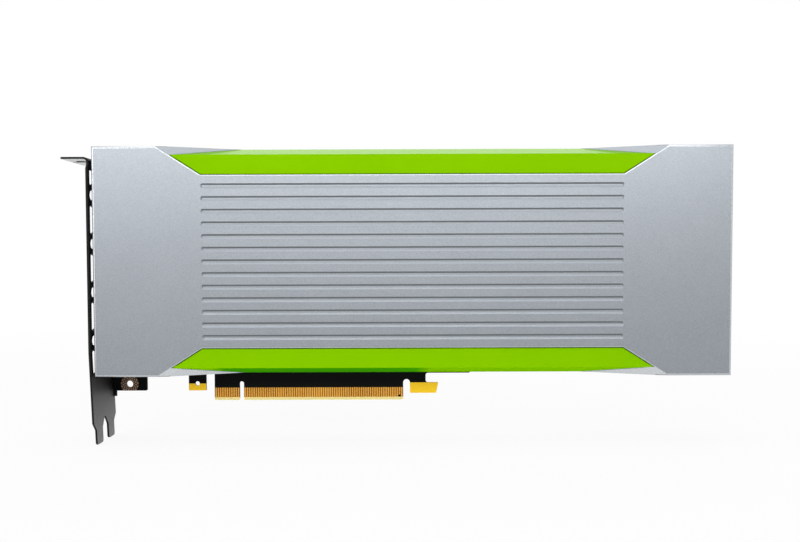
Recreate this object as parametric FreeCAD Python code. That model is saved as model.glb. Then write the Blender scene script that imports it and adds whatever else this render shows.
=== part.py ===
import FreeCAD, Part
import math
import os

# A passive accelerator card, two slots wide, standing on its edge connector. Millimetres.
# X runs along the card, away from the bracket. Y runs from the cover's face to the back of the
# board. Z is up. The origin is the middle of the connector's key notch, on the board's
# mid-plane, level with the foot of the connector.

# ---- driving dimensions ----------------------------------------------------------------------

# Board
board_thick = 1.57
board_edge_z = 13.0         # lower edge, away from the connector
board_left_gap = 1.3        # bracket's inner face to the board
board_right_gap = 1.4       # board's far end, short of the cover's end
board_top_gap = 0.6         # board's upper edge, below the cover's top
board_corner_r = 1.0
tab_corner_r = 0.5

# Edge connector
contact_pitch = 1.0
contact_width = 0.7
contact_top_z = 5.6
contact_thick = 0.06
contact_short = 1.0         # how much shorter the presence contacts are
left_contacts = 11
right_contacts = 71
front_short = (81,)
back_short = (1,)
key_span = 3.0              # between the contacts on both sides of the key notch
key_width = 1.9
key_height = 8.4
key_corner_r = 0.3
tongue_corner_r = 0.6
tongue_margin = 0.65        # last contact's centre to the end of the tongue
tongue_bevel = 1.3          # height of the lead-in at the foot
tongue_bevel_deg = 20.0

# Hook past the connector, and the step after it
hook_slot = 3.0
hook_slot_z = 9.2
hook_length = 12.65
hook_slant = 0.9
hook_bottom_z = 3.0
hook_top_z = 7.7
hook_neck = 7.05
hook_corner_r = 0.5
step_length = 19.4
step_drop = 1.0
plating_thick = 0.1

# Tabs on the bracket side
tab_z = 4.4
tab_end_x = -42.35
tab_hole_x = -50.1
tab_hole_r = 1.5
ring_r = 4.0
small_tab_x = -23.7
small_tab_width = 7.8
small_tab_gold_z = 7.5
small_tab_hole_r = 1.0

# Bracket
key_to_bracket = 58.58      # key notch to the bracket's inner face
sheet = 0.86
slot_pitch = 20.32
slot_width = 18.42
bracket_drop = 120.02       # underside of the screw tab to the tips of the tongues
bracket_seat_z = 104.81     # underside of the screw tab
screw_tab_length = 11.43
bend_r = 1.3
bracket_corner_r = 0.8
shoulder_corner_r = 0.6
shoulder_z = 100.9
shoulder_inset = 1.6
tongue_width = 10.19
tongue_taper_z = -5.8
tongue_taper = 3.1
tongue_tip_r = 1.4
lean_z = 24.0
lean = 1.45                 # how far the tips lean towards the board
screw_notch_r = 2.2
screw_notch_x = 5.6         # from the bracket's outer face
screw_notch_depth = 3.4
vent_margin = 3.4
vent_rear_margin = 7.6
vent_low_z = 15.2
vent_high_z = 100.3
vent_middle_z = 79.8
vent_wide = 6.3
vent_narrow = 1.55
vent_bevel = 1.1
lip_length = 2.3
lip_low_z = 1.8
lip_high_z = 11.0
ear_length = 12.0
ear_width = 9.0
ear_corner_r = 2.0

# Cover
cover_height = 34.7         # front face above the board's front
cover_length = 266.1
cover_tall = 96.0
cover_bottom_z = 13.95
cover_gap = 1.48            # bracket's inner face to the cover
cover_wall = 1.6
cover_edge_r = 1.0
groove_count = 13
groove_margin = 4.74        # from a strip's inner edge to the first groove's middle
groove_half = 87.8
groove_width = 2.0
groove_floor = 0.8
groove_depth = 0.42

# Sloped long edges and the strips in them
slope_drop = 3.75
slope_depth = 18.95
facet_outer = 106.6         # half distance between the outer ends of the facets
facet_crease = 72.3        # half distance between their ends on the crease
band_height = 11.8
band_half = 87.95           # half length of the strip's inner edge
strip_recess = 1.0
strip_thick = 1.5
strip_fit = 0.12
strip_floor = 1.2
strip_bevel = 0.35

# Screw bosses inside the cover
boss_r = 2.6
boss_height = 4.7

# Tapped blocks in its far corners
corner_size = 8.0
corner_thread_r = 1.25
corner_thread = 7.0

# Processor
chip_share = 0.4776         # of the cover's length, from the bracket to the processor
chip_drop = 4.95            # below the cover's middle
substrate = 47.5
substrate_thick = 1.9
die_length = 31.0
die_width = 25.0
die_thick = 0.8
stiffener_width = 4.5
stiffener_thick = 0.6
paste_gap = 0.1

# Memory
memory_length = 14.0
memory_width = 12.0
memory_thick = 1.2
memory_pad_thick = 0.8
memory_side_gap = 1.0       # frame's window to the memory beside it
memory_top_gap = 0.5        # and to the memory above it
memory_side_pitch = 15.0
memory_top_pitch = 16.0
pad_inset = 0.5

# Power stages, chokes and capacitors
phase_count = 6
phase_pitch = 12.5
phase_low_z = 28.5
choke = 9.6
choke_thick = 4.0
choke_pad_thick = 1.0
choke_gap = 0.65            # output capacitors to the chokes
stage_length = 6.0
stage_width = 5.0
stage_thick = 0.9
stage_pad_thick = 1.2
stage_pitch = 9.0
stage_bar_gap = 0.2         # chokes to the bar over the stages
output_capacitor = (4.3, 1.9, 7.3)
output_gap = 2.25           # memory to the output capacitors
bulk_r = 4.0
bulk_height = 8.5
bulk_count = 4
bulk_pitch = 12.0
bulk_gap = 24.6             # from the board's far end
bulk_low_z = 27.0
input_choke = 12.0
input_choke_thick = 6.5
input_choke_gap = 10.6
input_choke_pitch = 20.0
input_choke_count = 2
input_choke_low_z = 34.0
small_capacitor = (1.6, 0.8, 0.8)
small_pitch = 3.2
small_count = 4

# Cooling stack
frame_lift = 5.0            # underside of the frame above the board
frame_thick = 2.0
frame_clear = 0.5           # between the frame and the cover's walls
frame_left_gap = 3.4        # from the cover's end to the frame
frame_right_gap = 36.7      # from the frame to the cover's far end
window_gap = 1.0            # retention posts to the frame's window
post_r = 3.0
post_inset = 4.4            # from the frame's edges
ear_rise = (9.0, 78.0)      # of the two posts behind the bracket's ears, above the frame's edge
middle_post = 62.0          # from the frame's near end to its middle pair of posts
base_thick = 3.0
base_rim = 0.8
chamber_length = 112.0
chamber_rim = 1.65          # fin base left below the chamber
chamber_fit = 0.1
pedestal = 46.0
retention_half = 27.5
fin_thick = 0.3
fin_pitch = 1.9
fin_gap = 0.05
fin_clear = 0.3
fin_left_gap = 7.0
fin_right_gap = 4.0

# Power connector
header_cell = 4.2
header_rows = 2
header_columns = 4
header_wall = 0.7
header_depth = 13.4
header_cavity = 3.4
header_cavity_depth = 11.0
header_pin = 1.0
header_pin_length = 9.0
header_top_gap = 8.0        # below the cover's top
header_setback = 0.4        # mouth, inside the board's far end
latch_width = 4.0
latch_rise = 1.6

# Backplate and what it covers
backplate_gap = 0.9
backplate_thick = 0.8
backplate_rim = 1.0
backplate_left_gap = 15.0
backplate_right_gap = 2.0
backplate_low_z = 14.6
backplate_top_gap = 0.0
backplate_corner_r = 2.5
backplate_window = 68.0
rib_width = 3.0
rib_depth = 0.3
rib_count = 3
rib_margin = 8.0
foot_r = 3.4
retention_arm = 9.0
retention_thick = 1.1
retention_core = 30.0
retention_opening = 19.0
retention_post_r = 2.5

# Screws
shank_r = 1.0
hole_fit = 0.2
thread_fit = 0.05
head_r = 2.1
head_thick = 0.9
thread_end = 0.5            # blind hole past the screw
frame_screw_grip = 4.0
cover_screw_grip = 3.6
retention_grip = 5.5
cover_boss_gap = (40.0, 26.0)   # from the cover's near end and from its far end

# ---- positions that follow from them -----------------------------------------------------------

board_front = -board_thick / 2
board_back = board_thick / 2
bracket_x = -key_to_bracket
cover_x = bracket_x + cover_gap
cover_end = cover_x + cover_length
cover_middle = cover_x + cover_length / 2
cover_top_z = cover_bottom_z + cover_tall
cover_y = board_front - cover_height
chip_x = cover_x + chip_share * cover_length
chip_z = cover_bottom_z + cover_tall / 2 - chip_drop
board_x = bracket_x + board_left_gap
board_end = cover_end - board_right_gap
board_top_z = cover_top_z - board_top_gap
tongue_x = -key_span / 2 - (left_contacts - 1) * contact_pitch - tongue_margin
tongue_end = key_span / 2 + (right_contacts - 1) * contact_pitch + tongue_margin
hook_x = tongue_end + hook_slot
bracket_rear = cover_y + slot_width + slot_pitch
bracket_outer = bracket_x - sheet
strip_floor_depth = strip_recess + strip_thick
frame_x = cover_x + frame_left_gap
frame_end = cover_end - frame_right_gap
frame_low_z = cover_bottom_z + cover_wall + frame_clear
frame_high_z = cover_top_z - cover_wall - frame_clear
base_lift = frame_lift + frame_thick
fin_lift = base_lift + base_thick
fin_room = cover_height - strip_floor_depth - strip_floor - fin_clear
fin_x = cover_x + fin_left_gap
fin_end = frame_end - fin_right_gap
boss_low_z = cover_bottom_z + cover_wall + boss_r
boss_high_z = cover_top_z - cover_wall - boss_r
window_half = retention_half + retention_post_r + window_gap
memory_side = window_half + memory_side_gap + memory_width / 2
memory_above = window_half + memory_top_gap + memory_length / 2
output_reach = memory_side + memory_width / 2 + output_gap + output_capacitor[0] / 2
choke_near = output_reach + output_capacitor[0] / 2 + choke_gap + choke / 2
stage_bar_start = choke_near + choke / 2 + stage_bar_gap
stage_near = stage_bar_start + pad_inset + stage_length / 2
stage_far = stage_near + stage_pitch
stage_bar_end = stage_far + stage_length / 2 + pad_inset
choke_far = stage_bar_end + stage_bar_gap + choke / 2
backplate_x = board_x + backplate_left_gap
backplate_end = board_end - backplate_right_gap
backplate_high_z = board_top_z - backplate_top_gap


# ---- small helpers -----------------------------------------------------------------------------

def vec(x, y, z):
    return FreeCAD.Vector(x, y, z)


def above(height):
    """Y of a point this far in front of the board's component face."""
    return board_front - height


def behind(height):
    """Y of a point this far behind the board's back face."""
    return board_back + height


def block(x0, x1, y0, y1, z0, z1):
    """A box between two opposite corners, in any order."""
    size = (abs(x1 - x0), abs(y1 - y0), abs(z1 - z0))
    return Part.makeBox(*size, vec(min(x0, x1), min(y0, y1), min(z0, z1)))


def tile(x, z, length, tall, y0, y1):
    """A box centred on x and z."""
    return block(x - length / 2, x + length / 2, y0, y1, z - tall / 2, z + tall / 2)


def rod(x, z, r, y0, y1):
    """A cylinder along Y."""
    return Part.makeCylinder(r, abs(y1 - y0), vec(x, min(y0, y1), z), vec(0, 1, 0))


def peg(x, z, r, y0, y1, sides=12):
    """A many-sided bar along Y, round enough for shanks, threads, posts and cans inside the card."""
    ring = []
    for i in range(sides):
        angle = 2 * math.pi * i / sides
        ring.append(vec(x + r * math.cos(angle), y0, z + r * math.sin(angle)))
    return Part.Face(Part.makePolygon(ring + ring[:1])).extrude(vec(0, y1 - y0, 0))


def corner_arc(before, corner, after):
    """Start, middle and end of the arc that rounds a corner (u, v, radius)."""
    u, v, r = corner
    here = vec(u, v, 0)
    to_before = (vec(before[0], before[1], 0) - here).normalize()
    to_after = (vec(after[0], after[1], 0) - here).normalize()
    half = to_before.getAngle(to_after) / 2
    reach = r / math.tan(half)
    middle = here + (to_before + to_after).normalize() * (r / math.sin(half) - r)
    return here + to_before * reach, middle, here + to_after * reach


def rounded_face(corners, place):
    """A flat face with corners (u, v, radius); place(u, v) puts them in space."""
    count = len(corners)
    arcs = []
    for i in range(count):
        arcs.append(corner_arc(corners[i - 1], corners[i], corners[(i + 1) % count]))
    edges = []
    for i in range(count):
        start, middle, end = arcs[i]
        if corners[i][2] > 0:
            curve = Part.Arc(place(start.x, start.y), place(middle.x, middle.y), place(end.x, end.y))
            edges.append(curve.toShape())
        following = arcs[(i + 1) % count][0]
        if (following - end).Length > 1e-6:
            edges.append(Part.makeLine(place(end.x, end.y), place(following.x, following.y)))
    return Part.Face(Part.Wire(edges))


def slab_y(corners, y0, y1):
    """An outline in X and Z with rounded corners, between two depths."""
    face = rounded_face(corners, lambda u, v: vec(u, y0, v))
    return face.extrude(vec(0, y1 - y0, 0))


def slab_x(corners, x0, x1):
    """An outline in Y and Z with rounded corners, between two stations."""
    face = rounded_face(corners, lambda u, v: vec(x0, u, v))
    return face.extrude(vec(x1 - x0, 0, 0))


def slab_z(corners, z0, z1):
    """An outline in X and Y with rounded corners, between two levels."""
    face = rounded_face(corners, lambda u, v: vec(u, v, z0))
    return face.extrude(vec(0, 0, z1 - z0))


def rectangle(x0, x1, z0, z1, r):
    return [(x0, z0, r), (x1, z0, r), (x1, z1, r), (x0, z1, r)]


def bevelled(corners, cut):
    """An outline (u, v) with each corner cut off, this far along both of its sides."""
    outline = []
    for i in range(len(corners)):
        here = vec(*corners[i], 0)
        for other in (corners[i - 1], corners[(i + 1) % len(corners)]):
            point = here + (vec(*other, 0) - here).normalize() * cut
            outline.append((point.x, point.y, 0))
    return outline


def square(x, z, size, r):
    return rectangle(x - size / 2, x + size / 2, z - size / 2, z + size / 2, r)


def between(ring, other):
    """A solid with flat sides between two rings of corners, taken in the same order."""
    faces = [Part.Face(Part.makePolygon(ring + ring[:1])), Part.Face(Part.makePolygon(other + other[:1]))]
    for i in range(len(ring)):
        corners = [ring[i - 1], ring[i], other[i], other[i - 1]]
        faces.append(Part.Face(Part.makePolygon(corners + corners[:1])))
    solid = Part.Solid(Part.Shell(faces))
    solid.fix(1e-6, 1e-6, 1e-6)
    return solid


def joined(shapes):
    """One solid from shapes that meet."""
    whole = shapes[0]
    if len(shapes) > 1:
        whole = whole.multiFuse(shapes[1:]).removeSplitter()
    return whole


def without(shape, tools):
    return shape.cut(tools) if tools else shape


def group(shapes):
    """Separate solids of one kind."""
    return Part.makeCompound(shapes)


# ---- where the repeated pieces sit ---------------------------------------------------------------

def post_places():
    """The pair behind the bracket's ears, then a pair near the middle and one at the far end."""
    places = [(frame_x + post_inset, frame_low_z + rise) for rise in ear_rise]
    for x in (frame_x + middle_post, frame_end - post_inset):
        places += [(x, frame_low_z + post_inset), (x, frame_high_z - post_inset)]
    return places


def boss_places():
    places = []
    for x in (cover_x + cover_boss_gap[0], cover_end - cover_boss_gap[1]):
        places += [(x, boss_low_z), (x, boss_high_z)]
    return places


def retention_places():
    sides = (-retention_half, retention_half)
    return [(chip_x + x, chip_z + z) for x in sides for z in sides]


def memory_places():
    """Centre, length along X and height along Z of each memory chip."""
    places = []
    for i in range(4):
        z = chip_z + (i - 1.5) * memory_side_pitch
        places.append((chip_x - memory_side, z, memory_width, memory_length))
        places.append((chip_x + memory_side, z, memory_width, memory_length))
        x = chip_x + (i - 1.5) * memory_top_pitch
        places.append((x, chip_z + memory_above, memory_width, memory_length))
    return places


def phase_levels():
    return [phase_low_z + i * phase_pitch for i in range(phase_count)]


# ---- board -----------------------------------------------------------------------------------------

def hook_outline(inset):
    """The gold part of the hook, drawn in by inset on its free edges."""
    end = hook_x + hook_length
    foot = end - hook_slant
    return [
        (hook_x + inset, hook_bottom_z + inset, hook_corner_r - inset),
        (foot - inset, hook_bottom_z + inset, hook_corner_r - inset),
        (end - inset, hook_top_z, 0),
        (hook_x + inset, hook_top_z, 0),
    ]


def board_outline():
    r = board_corner_r
    hook_core_r = hook_corner_r - plating_thick
    half_key = key_width / 2
    half_slot = hook_slot / 2
    neck_x = hook_x + hook_neck
    step_x = neck_x + step_length
    step_z = board_edge_z - step_drop
    small_end = small_tab_x + small_tab_width
    return [
        (board_x, tab_z, tab_corner_r),
        (tab_end_x, tab_z, tab_corner_r),
        (tab_end_x, board_edge_z, 0),
        (small_tab_x, board_edge_z, 0),
        (small_tab_x, tab_z + plating_thick, 0),
        (small_end, tab_z + plating_thick, 0),
        (small_end, board_edge_z, 0),
        (tongue_x, board_edge_z, 0),
        (tongue_x, 0, tongue_corner_r),
        (-half_key, 0, key_corner_r),
        (-half_key, key_height, half_key),
        (half_key, key_height, half_key),
        (half_key, 0, key_corner_r),
        (tongue_end, 0, tongue_corner_r),
        (tongue_end, hook_slot_z, half_slot),
        (hook_x, hook_slot_z, half_slot),
        (hook_x, hook_top_z, 0),
        (hook_x + plating_thick, hook_top_z, 0),
        (hook_x + plating_thick, hook_bottom_z + plating_thick, hook_core_r),
        (hook_x + hook_length - hook_slant - plating_thick, hook_bottom_z + plating_thick, hook_core_r),
        (hook_x + hook_length - plating_thick, hook_top_z, 0),
        (neck_x, hook_top_z, r),
        (neck_x, step_z, r),
        (step_x, step_z, 0),
        (step_x + step_drop, board_edge_z, 0),
        (board_end, board_edge_z, r),
        (board_end, board_top_z, r),
        (board_x, board_top_z, r),
    ]


def tongue_bevels():
    """The two wedges milled off the foot of the connector's tongue."""
    run = tongue_bevel * math.tan(math.radians(tongue_bevel_deg))
    wedges = []
    for side in (-1, 1):
        face = side * board_thick / 2
        corners = [(face, tongue_bevel, 0), (face - side * run, 0, 0),
                   (face - side * run, -1, 0), (face + side, -1, 0), (face + side, tongue_bevel, 0)]
        wedges.append(slab_x(corners, tongue_x - 1, tongue_end + 0.1))
    return wedges


def circuit_board():
    board = slab_y(board_outline(), board_front, board_back)
    holes = [rod(tab_hole_x, tab_hole_z(), tab_hole_r, board_front - 1, board_back + 1)]
    holes.append(rod(small_hole_x(), small_hole_z(), small_tab_hole_r, board_front - 1, board_back + 1))
    for x, z in post_places() + boss_places() + retention_places():
        holes.append(peg(x, z, shank_r + hole_fit, board_front - 1, board_back + 1))
    return without(board, holes + tongue_bevels())


def tab_hole_z():
    return tab_z + 2 * tab_hole_r


def small_hole_x():
    return small_tab_x + small_tab_width / 2


def small_hole_z():
    return small_tab_gold_z


def contact_stations():
    """Number and X of each contact, counted from the bracket."""
    stations = []
    for i in range(left_contacts):
        stations.append((i + 1, -key_span / 2 - (left_contacts - 1 - i) * contact_pitch))
    for i in range(right_contacts):
        stations.append((left_contacts + i + 1, key_span / 2 + i * contact_pitch))
    return stations


def edge_contacts(face, outward, short):
    pads = []
    for number, x in contact_stations():
        foot = tongue_bevel + (contact_short if number in short else 0)
        pads.append(block(x - contact_width / 2, x + contact_width / 2,
                          face, face + outward * contact_thick, foot, contact_top_z))
    return group(pads)


def hook_plating():
    """Gold that wraps the hook on both faces and round its edges."""
    shell = slab_y(hook_outline(0), board_front - plating_thick, board_back + plating_thick)
    core = slab_y(hook_outline(plating_thick), board_front, board_back)
    return shell.cut(core)


def tab_plating():
    """Gold that wraps the foot of the small tab."""
    end = small_tab_x + small_tab_width
    skin = plating_thick
    shell = block(small_tab_x, end, board_front - skin, board_back + skin, tab_z, small_tab_gold_z)
    core = block(small_tab_x, end, board_front, board_back, tab_z + skin, small_tab_gold_z)
    hole = rod(small_hole_x(), small_hole_z(), small_tab_hole_r, board_front - 1, board_back + 1)
    return shell.cut([core, hole])


def ground_rings():
    """Bare copper round the bracket-side hole, on both faces."""
    rings = []
    room = block(board_x, tab_end_x, above(1), behind(1), tab_z, cover_bottom_z)
    for start, stop in ((above(0), above(plating_thick)), (behind(0), behind(plating_thick))):
        disc = rod(tab_hole_x, tab_hole_z(), ring_r, start, stop)
        hole = rod(tab_hole_x, tab_hole_z(), tab_hole_r, start, stop)
        rings.append(disc.cut(hole).common(room))
    return group(rings)


# ---- bracket ---------------------------------------------------------------------------------------

def bracket_sheet():
    """Side view of the folded strip, as wide as two slots."""
    tip_z = bracket_seat_z - bracket_drop
    tab_x = bracket_x - screw_tab_length
    corners = [
        (tab_x, bracket_seat_z, 0),
        (tab_x, bracket_seat_z + sheet, 0),
        (bracket_x, bracket_seat_z + sheet, bend_r + sheet),
        (bracket_x, lean_z, 0),
        (bracket_x + lean, tip_z, 0),
        (bracket_outer + lean, tip_z, 0),
        (bracket_outer, lean_z, 0),
        (bracket_outer, bracket_seat_z, bend_r),
    ]
    return slab_y(corners, cover_y, bracket_rear)


def bracket_silhouette():
    """Front view of the bracket along X: shoulder, straight sides, two tapered tongues."""
    inset = (slot_width - tongue_width) / 2
    tip_z = bracket_seat_z - bracket_drop
    taper_end = tongue_taper_z - tongue_taper
    between = slot_pitch - slot_width
    gap_front = cover_y + slot_width
    gap_rear = gap_front + between
    front, rear = cover_y, bracket_rear
    top = bracket_seat_z + sheet + 1
    r = bracket_corner_r
    corners = [
        (front + shoulder_inset, top, 0),
        (front + shoulder_inset, shoulder_z + shoulder_inset, shoulder_corner_r),
        (front, shoulder_z, shoulder_corner_r),
        (front, tongue_taper_z, r),
        (front + inset, taper_end, r),
        (front + inset, tip_z, tongue_tip_r),
        (front + inset + tongue_width, tip_z, tongue_tip_r),
        (front + inset + tongue_width, taper_end, r),
        (gap_front, tongue_taper_z + between / 2, between / 2.2),
        (gap_rear, tongue_taper_z + between / 2, between / 2.2),
        (rear - inset - tongue_width, taper_end, r),
        (rear - inset - tongue_width, tip_z, tongue_tip_r),
        (rear - inset, tip_z, tongue_tip_r),
        (rear - inset, taper_end, r),
        (rear, tongue_taper_z, r),
        (rear, top, 0),
    ]
    return slab_x(corners, bracket_x - screw_tab_length - 1, bracket_x + lean + 1)


def bracket_vents():
    """A truss of blunt triangles that point to the front and to the rear in turn."""
    front = cover_y + vent_margin
    rear = bracket_rear - vent_rear_margin
    step = slot_pitch / 2
    lowest = math.ceil((vent_low_z - vent_wide - vent_middle_z) / step)
    highest = math.floor((vent_high_z + vent_wide - vent_middle_z) / step)
    vents = []
    for i in range(lowest, highest + 1):
        z = vent_middle_z + i * step
        wide_y, narrow_y = (front, rear) if i % 2 == 0 else (rear, front)
        corners = [(wide_y, z - vent_wide), (narrow_y, z - vent_narrow),
                   (narrow_y, z + vent_narrow), (wide_y, z + vent_wide)]
        vents.append(slab_x(bevelled(corners, vent_bevel), bracket_outer - 1, bracket_x + 1))
    field = block(bracket_outer - 1, bracket_x + 1, front, rear, vent_low_z, vent_high_z)
    return [vent.common(field) for vent in vents]


def screw_notches():
    """One open notch for a case screw beside each slot, and the gap between the slots' tabs."""
    x = bracket_outer - screw_notch_x
    z0, z1 = bracket_seat_z - 1, bracket_seat_z + sheet + 1
    tools = []
    for edge in (bracket_rear, bracket_rear - slot_pitch):
        middle = edge - screw_notch_depth
        corners = [(x - screw_notch_r, middle - screw_notch_r, screw_notch_r),
                   (x + screw_notch_r, middle - screw_notch_r, screw_notch_r),
                   (x + screw_notch_r, edge + 0.1, 0), (x - screw_notch_r, edge + 0.1, 0)]
        tools.append(slab_z(corners, z0, z1))
    gap_x = bracket_outer - bend_r - 1
    tools.append(block(bracket_x - screw_tab_length - 1, gap_x,
                       bracket_rear - slot_pitch, bracket_rear - slot_width, z0, z1))
    return tools


def ear_places():
    return post_places()[:2]


def bracket_ears():
    """Flanges behind the board: two ears with holes, and a short lip at the foot."""
    shapes = []
    y0, y1 = behind(0), behind(sheet)
    root = bracket_x - sheet / 2
    for x, z in ear_places():
        low, high = z - ear_width / 2, z + ear_width / 2
        ear = slab_y([(root, low, 0), (bracket_x + ear_length, low, ear_corner_r),
                      (bracket_x + ear_length, high, ear_corner_r), (root, high, 0)], y0, y1)
        shapes.append(ear.cut(peg(x, z, shank_r + hole_fit, y0 - 1, y1 + 1)))
    shapes.append(block(root, bracket_x + lip_length, y0, y1, lip_low_z, lip_high_z))
    return shapes


def bracket():
    strip = bracket_sheet().common(bracket_silhouette())
    strip = without(strip, bracket_vents() + screw_notches())
    return joined([strip] + bracket_ears())


# ---- cover and its green strips --------------------------------------------------------------------

class Edge:
    """One long edge of the cover. Depth is from the front face, drop from the edge inwards."""

    def __init__(self, z, inward):
        self.z = z
        self.inward = inward

    def point(self, x, depth, drop):
        return vec(x, cover_y + depth, self.z + self.inward * drop)

    def swept(self, section, half):
        """A section of (depth, drop) points, swept along X to both sides of the middle."""
        points = [self.point(cover_middle - half, depth, drop) for depth, drop in section]
        face = Part.Face(Part.makePolygon(points + points[:1]))
        return face.extrude(vec(2 * half, 0, 0))

    def tapered(self, stations):
        """A solid between two mirrored sections, each a list of (half length, depth, drop) points."""
        rings = [[self.point(cover_middle + side * half, depth, drop) for half, depth, drop in stations]
                 for side in (-1, 1)]
        return between(rings[0], rings[1])


TOP = Edge(cover_top_z, -1)
BOTTOM = Edge(cover_bottom_z, 1)
OVERSHOOT = 1.0             # how far a cutting tool passes the surface it starts from


def slope(depth):
    """Drop of the sloped face at a depth."""
    return slope_drop * (1 - depth / slope_depth)


def under_slope(depth, thick):
    """Drop of a face that lies this much below the sloped face."""
    return slope(depth) + thick * math.hypot(slope_drop, slope_depth) / slope_depth


def diagonal(drop, grow):
    """Half length of the strip's front at a drop, grown square to its diagonal ends."""
    run = facet_outer - band_half
    return facet_outer - run * drop / band_height + grow * math.hypot(run, band_height) / band_height


def slope_half(depth, grow):
    """Half length of the strip's slope at a depth, grown square to its slanting ends."""
    tip = diagonal(slope_drop, 0)
    run = tip - facet_crease
    return tip - run * depth / slope_depth + grow * math.hypot(run, slope_depth) / slope_depth


def facet(depth, drop):
    """Half length to the plane of the silver facet, at a depth and a drop."""
    tip = diagonal(slope_drop, 0)
    across = (facet_outer - tip) / slope_drop
    along = (facet_outer - facet_crease) / slope_depth
    return facet_outer - drop * across - depth * along


def edge_wedge(edge):
    """What the slope and its two end facets take off a square edge."""
    m = OVERSHOOT
    crease = slope_depth * (1 + m / slope_drop)
    section = ((-m, -m), (-m, slope(-m)), (crease, -m))
    return edge.tapered([(facet(depth, drop), depth, drop) for depth, drop in section])


def plane_prism(edge, corners, start, stop):
    """A mirrored four-sided outline in the front face, carried from one depth to another."""
    rings = []
    for depth in (start, stop):
        halves = [(-half, drop) for half, drop in corners] + [(half, drop) for half, drop in corners[::-1]]
        rings.append([edge.point(cover_middle + half, depth, drop) for half, drop in halves])
    return between(rings[0], rings[1])


def strip_leg(edge, grow, start, outer):
    """Leg of the strip in the front face, with diagonal ends."""
    inner, floor = band_height + grow, strip_floor_depth
    leg = edge.swept([(start, inner), (floor, inner), (floor, outer(floor)), (start, outer(start))],
                     facet_outer + OVERSHOOT)
    low, high = -2 * OVERSHOOT, inner + OVERSHOOT
    corners = [(diagonal(low, grow), low), (diagonal(high, grow), high)]
    return leg.common(plane_prism(edge, corners, start - OVERSHOOT, floor + OVERSHOOT))


def strip_ramp(edge, grow, outer):
    """Leg of the strip on the slope, narrowing towards the board."""
    start, end = strip_recess, slope_depth + grow
    ramp = edge.swept([(start, outer(start)), (end, outer(end)),
                       (end, under_slope(end, strip_thick)), (start, under_slope(start, strip_thick))],
                      facet_outer)
    corners = [(-slope_half(0, grow), 0), (slope_half(0, grow), 0),
               (slope_half(end, grow), end), (-slope_half(end, grow), end)]
    rings = [[edge.point(cover_middle + half, depth, drop) for half, depth in corners]
             for drop in (-2 * OVERSHOOT, band_height)]
    return ramp.common(between(rings[0], rings[1]))


def accent(edge):
    """Green strip of one edge, as it sits in its pocket."""
    return joined([strip_leg(edge, 0, strip_recess, slope), strip_ramp(edge, 0, slope)])


def strip_pocket(edge):
    """Room for a strip, open to the front and past the slope, with a small bevel round its rim."""
    def outside(_):
        return -OVERSHOOT

    rings = []
    for depth, grow in ((-strip_bevel, 2 * strip_bevel), (strip_bevel, 0)):
        inner = band_height + strip_fit + grow
        halves = [(diagonal(-OVERSHOOT, strip_fit + grow), -OVERSHOOT),
                  (diagonal(inner, strip_fit + grow), inner)]
        corners = [(-half, drop) for half, drop in halves] + [(half, drop) for half, drop in halves[::-1]]
        rings.append([edge.point(cover_middle + half, depth, drop) for half, drop in corners])
    return [strip_leg(edge, strip_fit, -OVERSHOOT, outside), strip_ramp(edge, strip_fit, outside),
            between(rings[0], rings[1])]


def strip_bed(edge):
    """Wall kept behind a strip, so that its pocket has a floor."""
    behind_front = strip_floor_depth + strip_floor
    behind_crease = slope_depth + strip_fit + strip_floor
    wall = strip_thick + strip_floor
    edge_drop = band_height + strip_fit + strip_floor
    section = [(0, 0), (0, edge_drop), (behind_front, edge_drop),
               (behind_front, under_slope(behind_front, wall)),
               (behind_crease, under_slope(behind_crease, wall)), (behind_crease, 0)]
    return edge.swept(section, facet_outer + strip_floor)


def grooves():
    """Shallow furrows along the face, with a flat floor, flared sides and blunted ends."""
    margin = band_height + groove_margin
    pitch = (cover_tall - 2 * margin) / (groove_count - 1)
    flare = (groove_width - groove_floor) / 2
    tools = []
    for i in range(groove_count):
        z = cover_bottom_z + margin + i * pitch
        rings = []
        for depth, inset in ((-groove_depth, -flare), (groove_depth, flare)):
            half, rise = groove_half - inset, groove_width / 2 - inset
            corners = bevelled([(-half, -rise), (half, -rise), (half, rise), (-half, rise)], rise / 2)
            rings.append([vec(cover_middle + dx, cover_y + depth, z + dz) for dx, dz, _ in corners])
        tools.append(between(rings[0], rings[1]))
    return tools


def cover_bosses():
    """Screw bosses that stand on the board, each tied to the wall beside it."""
    bosses = []
    for x, z in boss_places():
        wall_z = cover_bottom_z if z < chip_z else cover_top_z
        inner = wall_z + (0.5 if z < chip_z else -0.5) * cover_wall
        boss = peg(x, z, boss_r, above(0), above(boss_height))
        web = block(x - boss_r, x + boss_r, above(0), above(boss_height), inner, z)
        bosses += [boss, web]
    return bosses


def corner_places():
    """Middle of each corner block at the far end, in Y and Z."""
    y = cover_y + cover_wall + corner_size / 2
    inset = cover_wall + corner_size / 2
    return [(y, cover_bottom_z + inset), (y, cover_top_z - inset)]


def corner_blocks():
    """Blocks in the far corners of the cover, tapped for a chassis support bracket."""
    half = corner_size / 2
    blocks = []
    for y, z in corner_places():
        body = block(cover_end - corner_size, cover_end, y - half, y + half, z - half, z + half)
        hole = Part.makeCylinder(corner_thread_r, corner_thread + OVERSHOOT,
                                 vec(cover_end - corner_thread, y, z), vec(1, 0, 0))
        blocks.append(body.cut(hole))
    return group(blocks)


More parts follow.
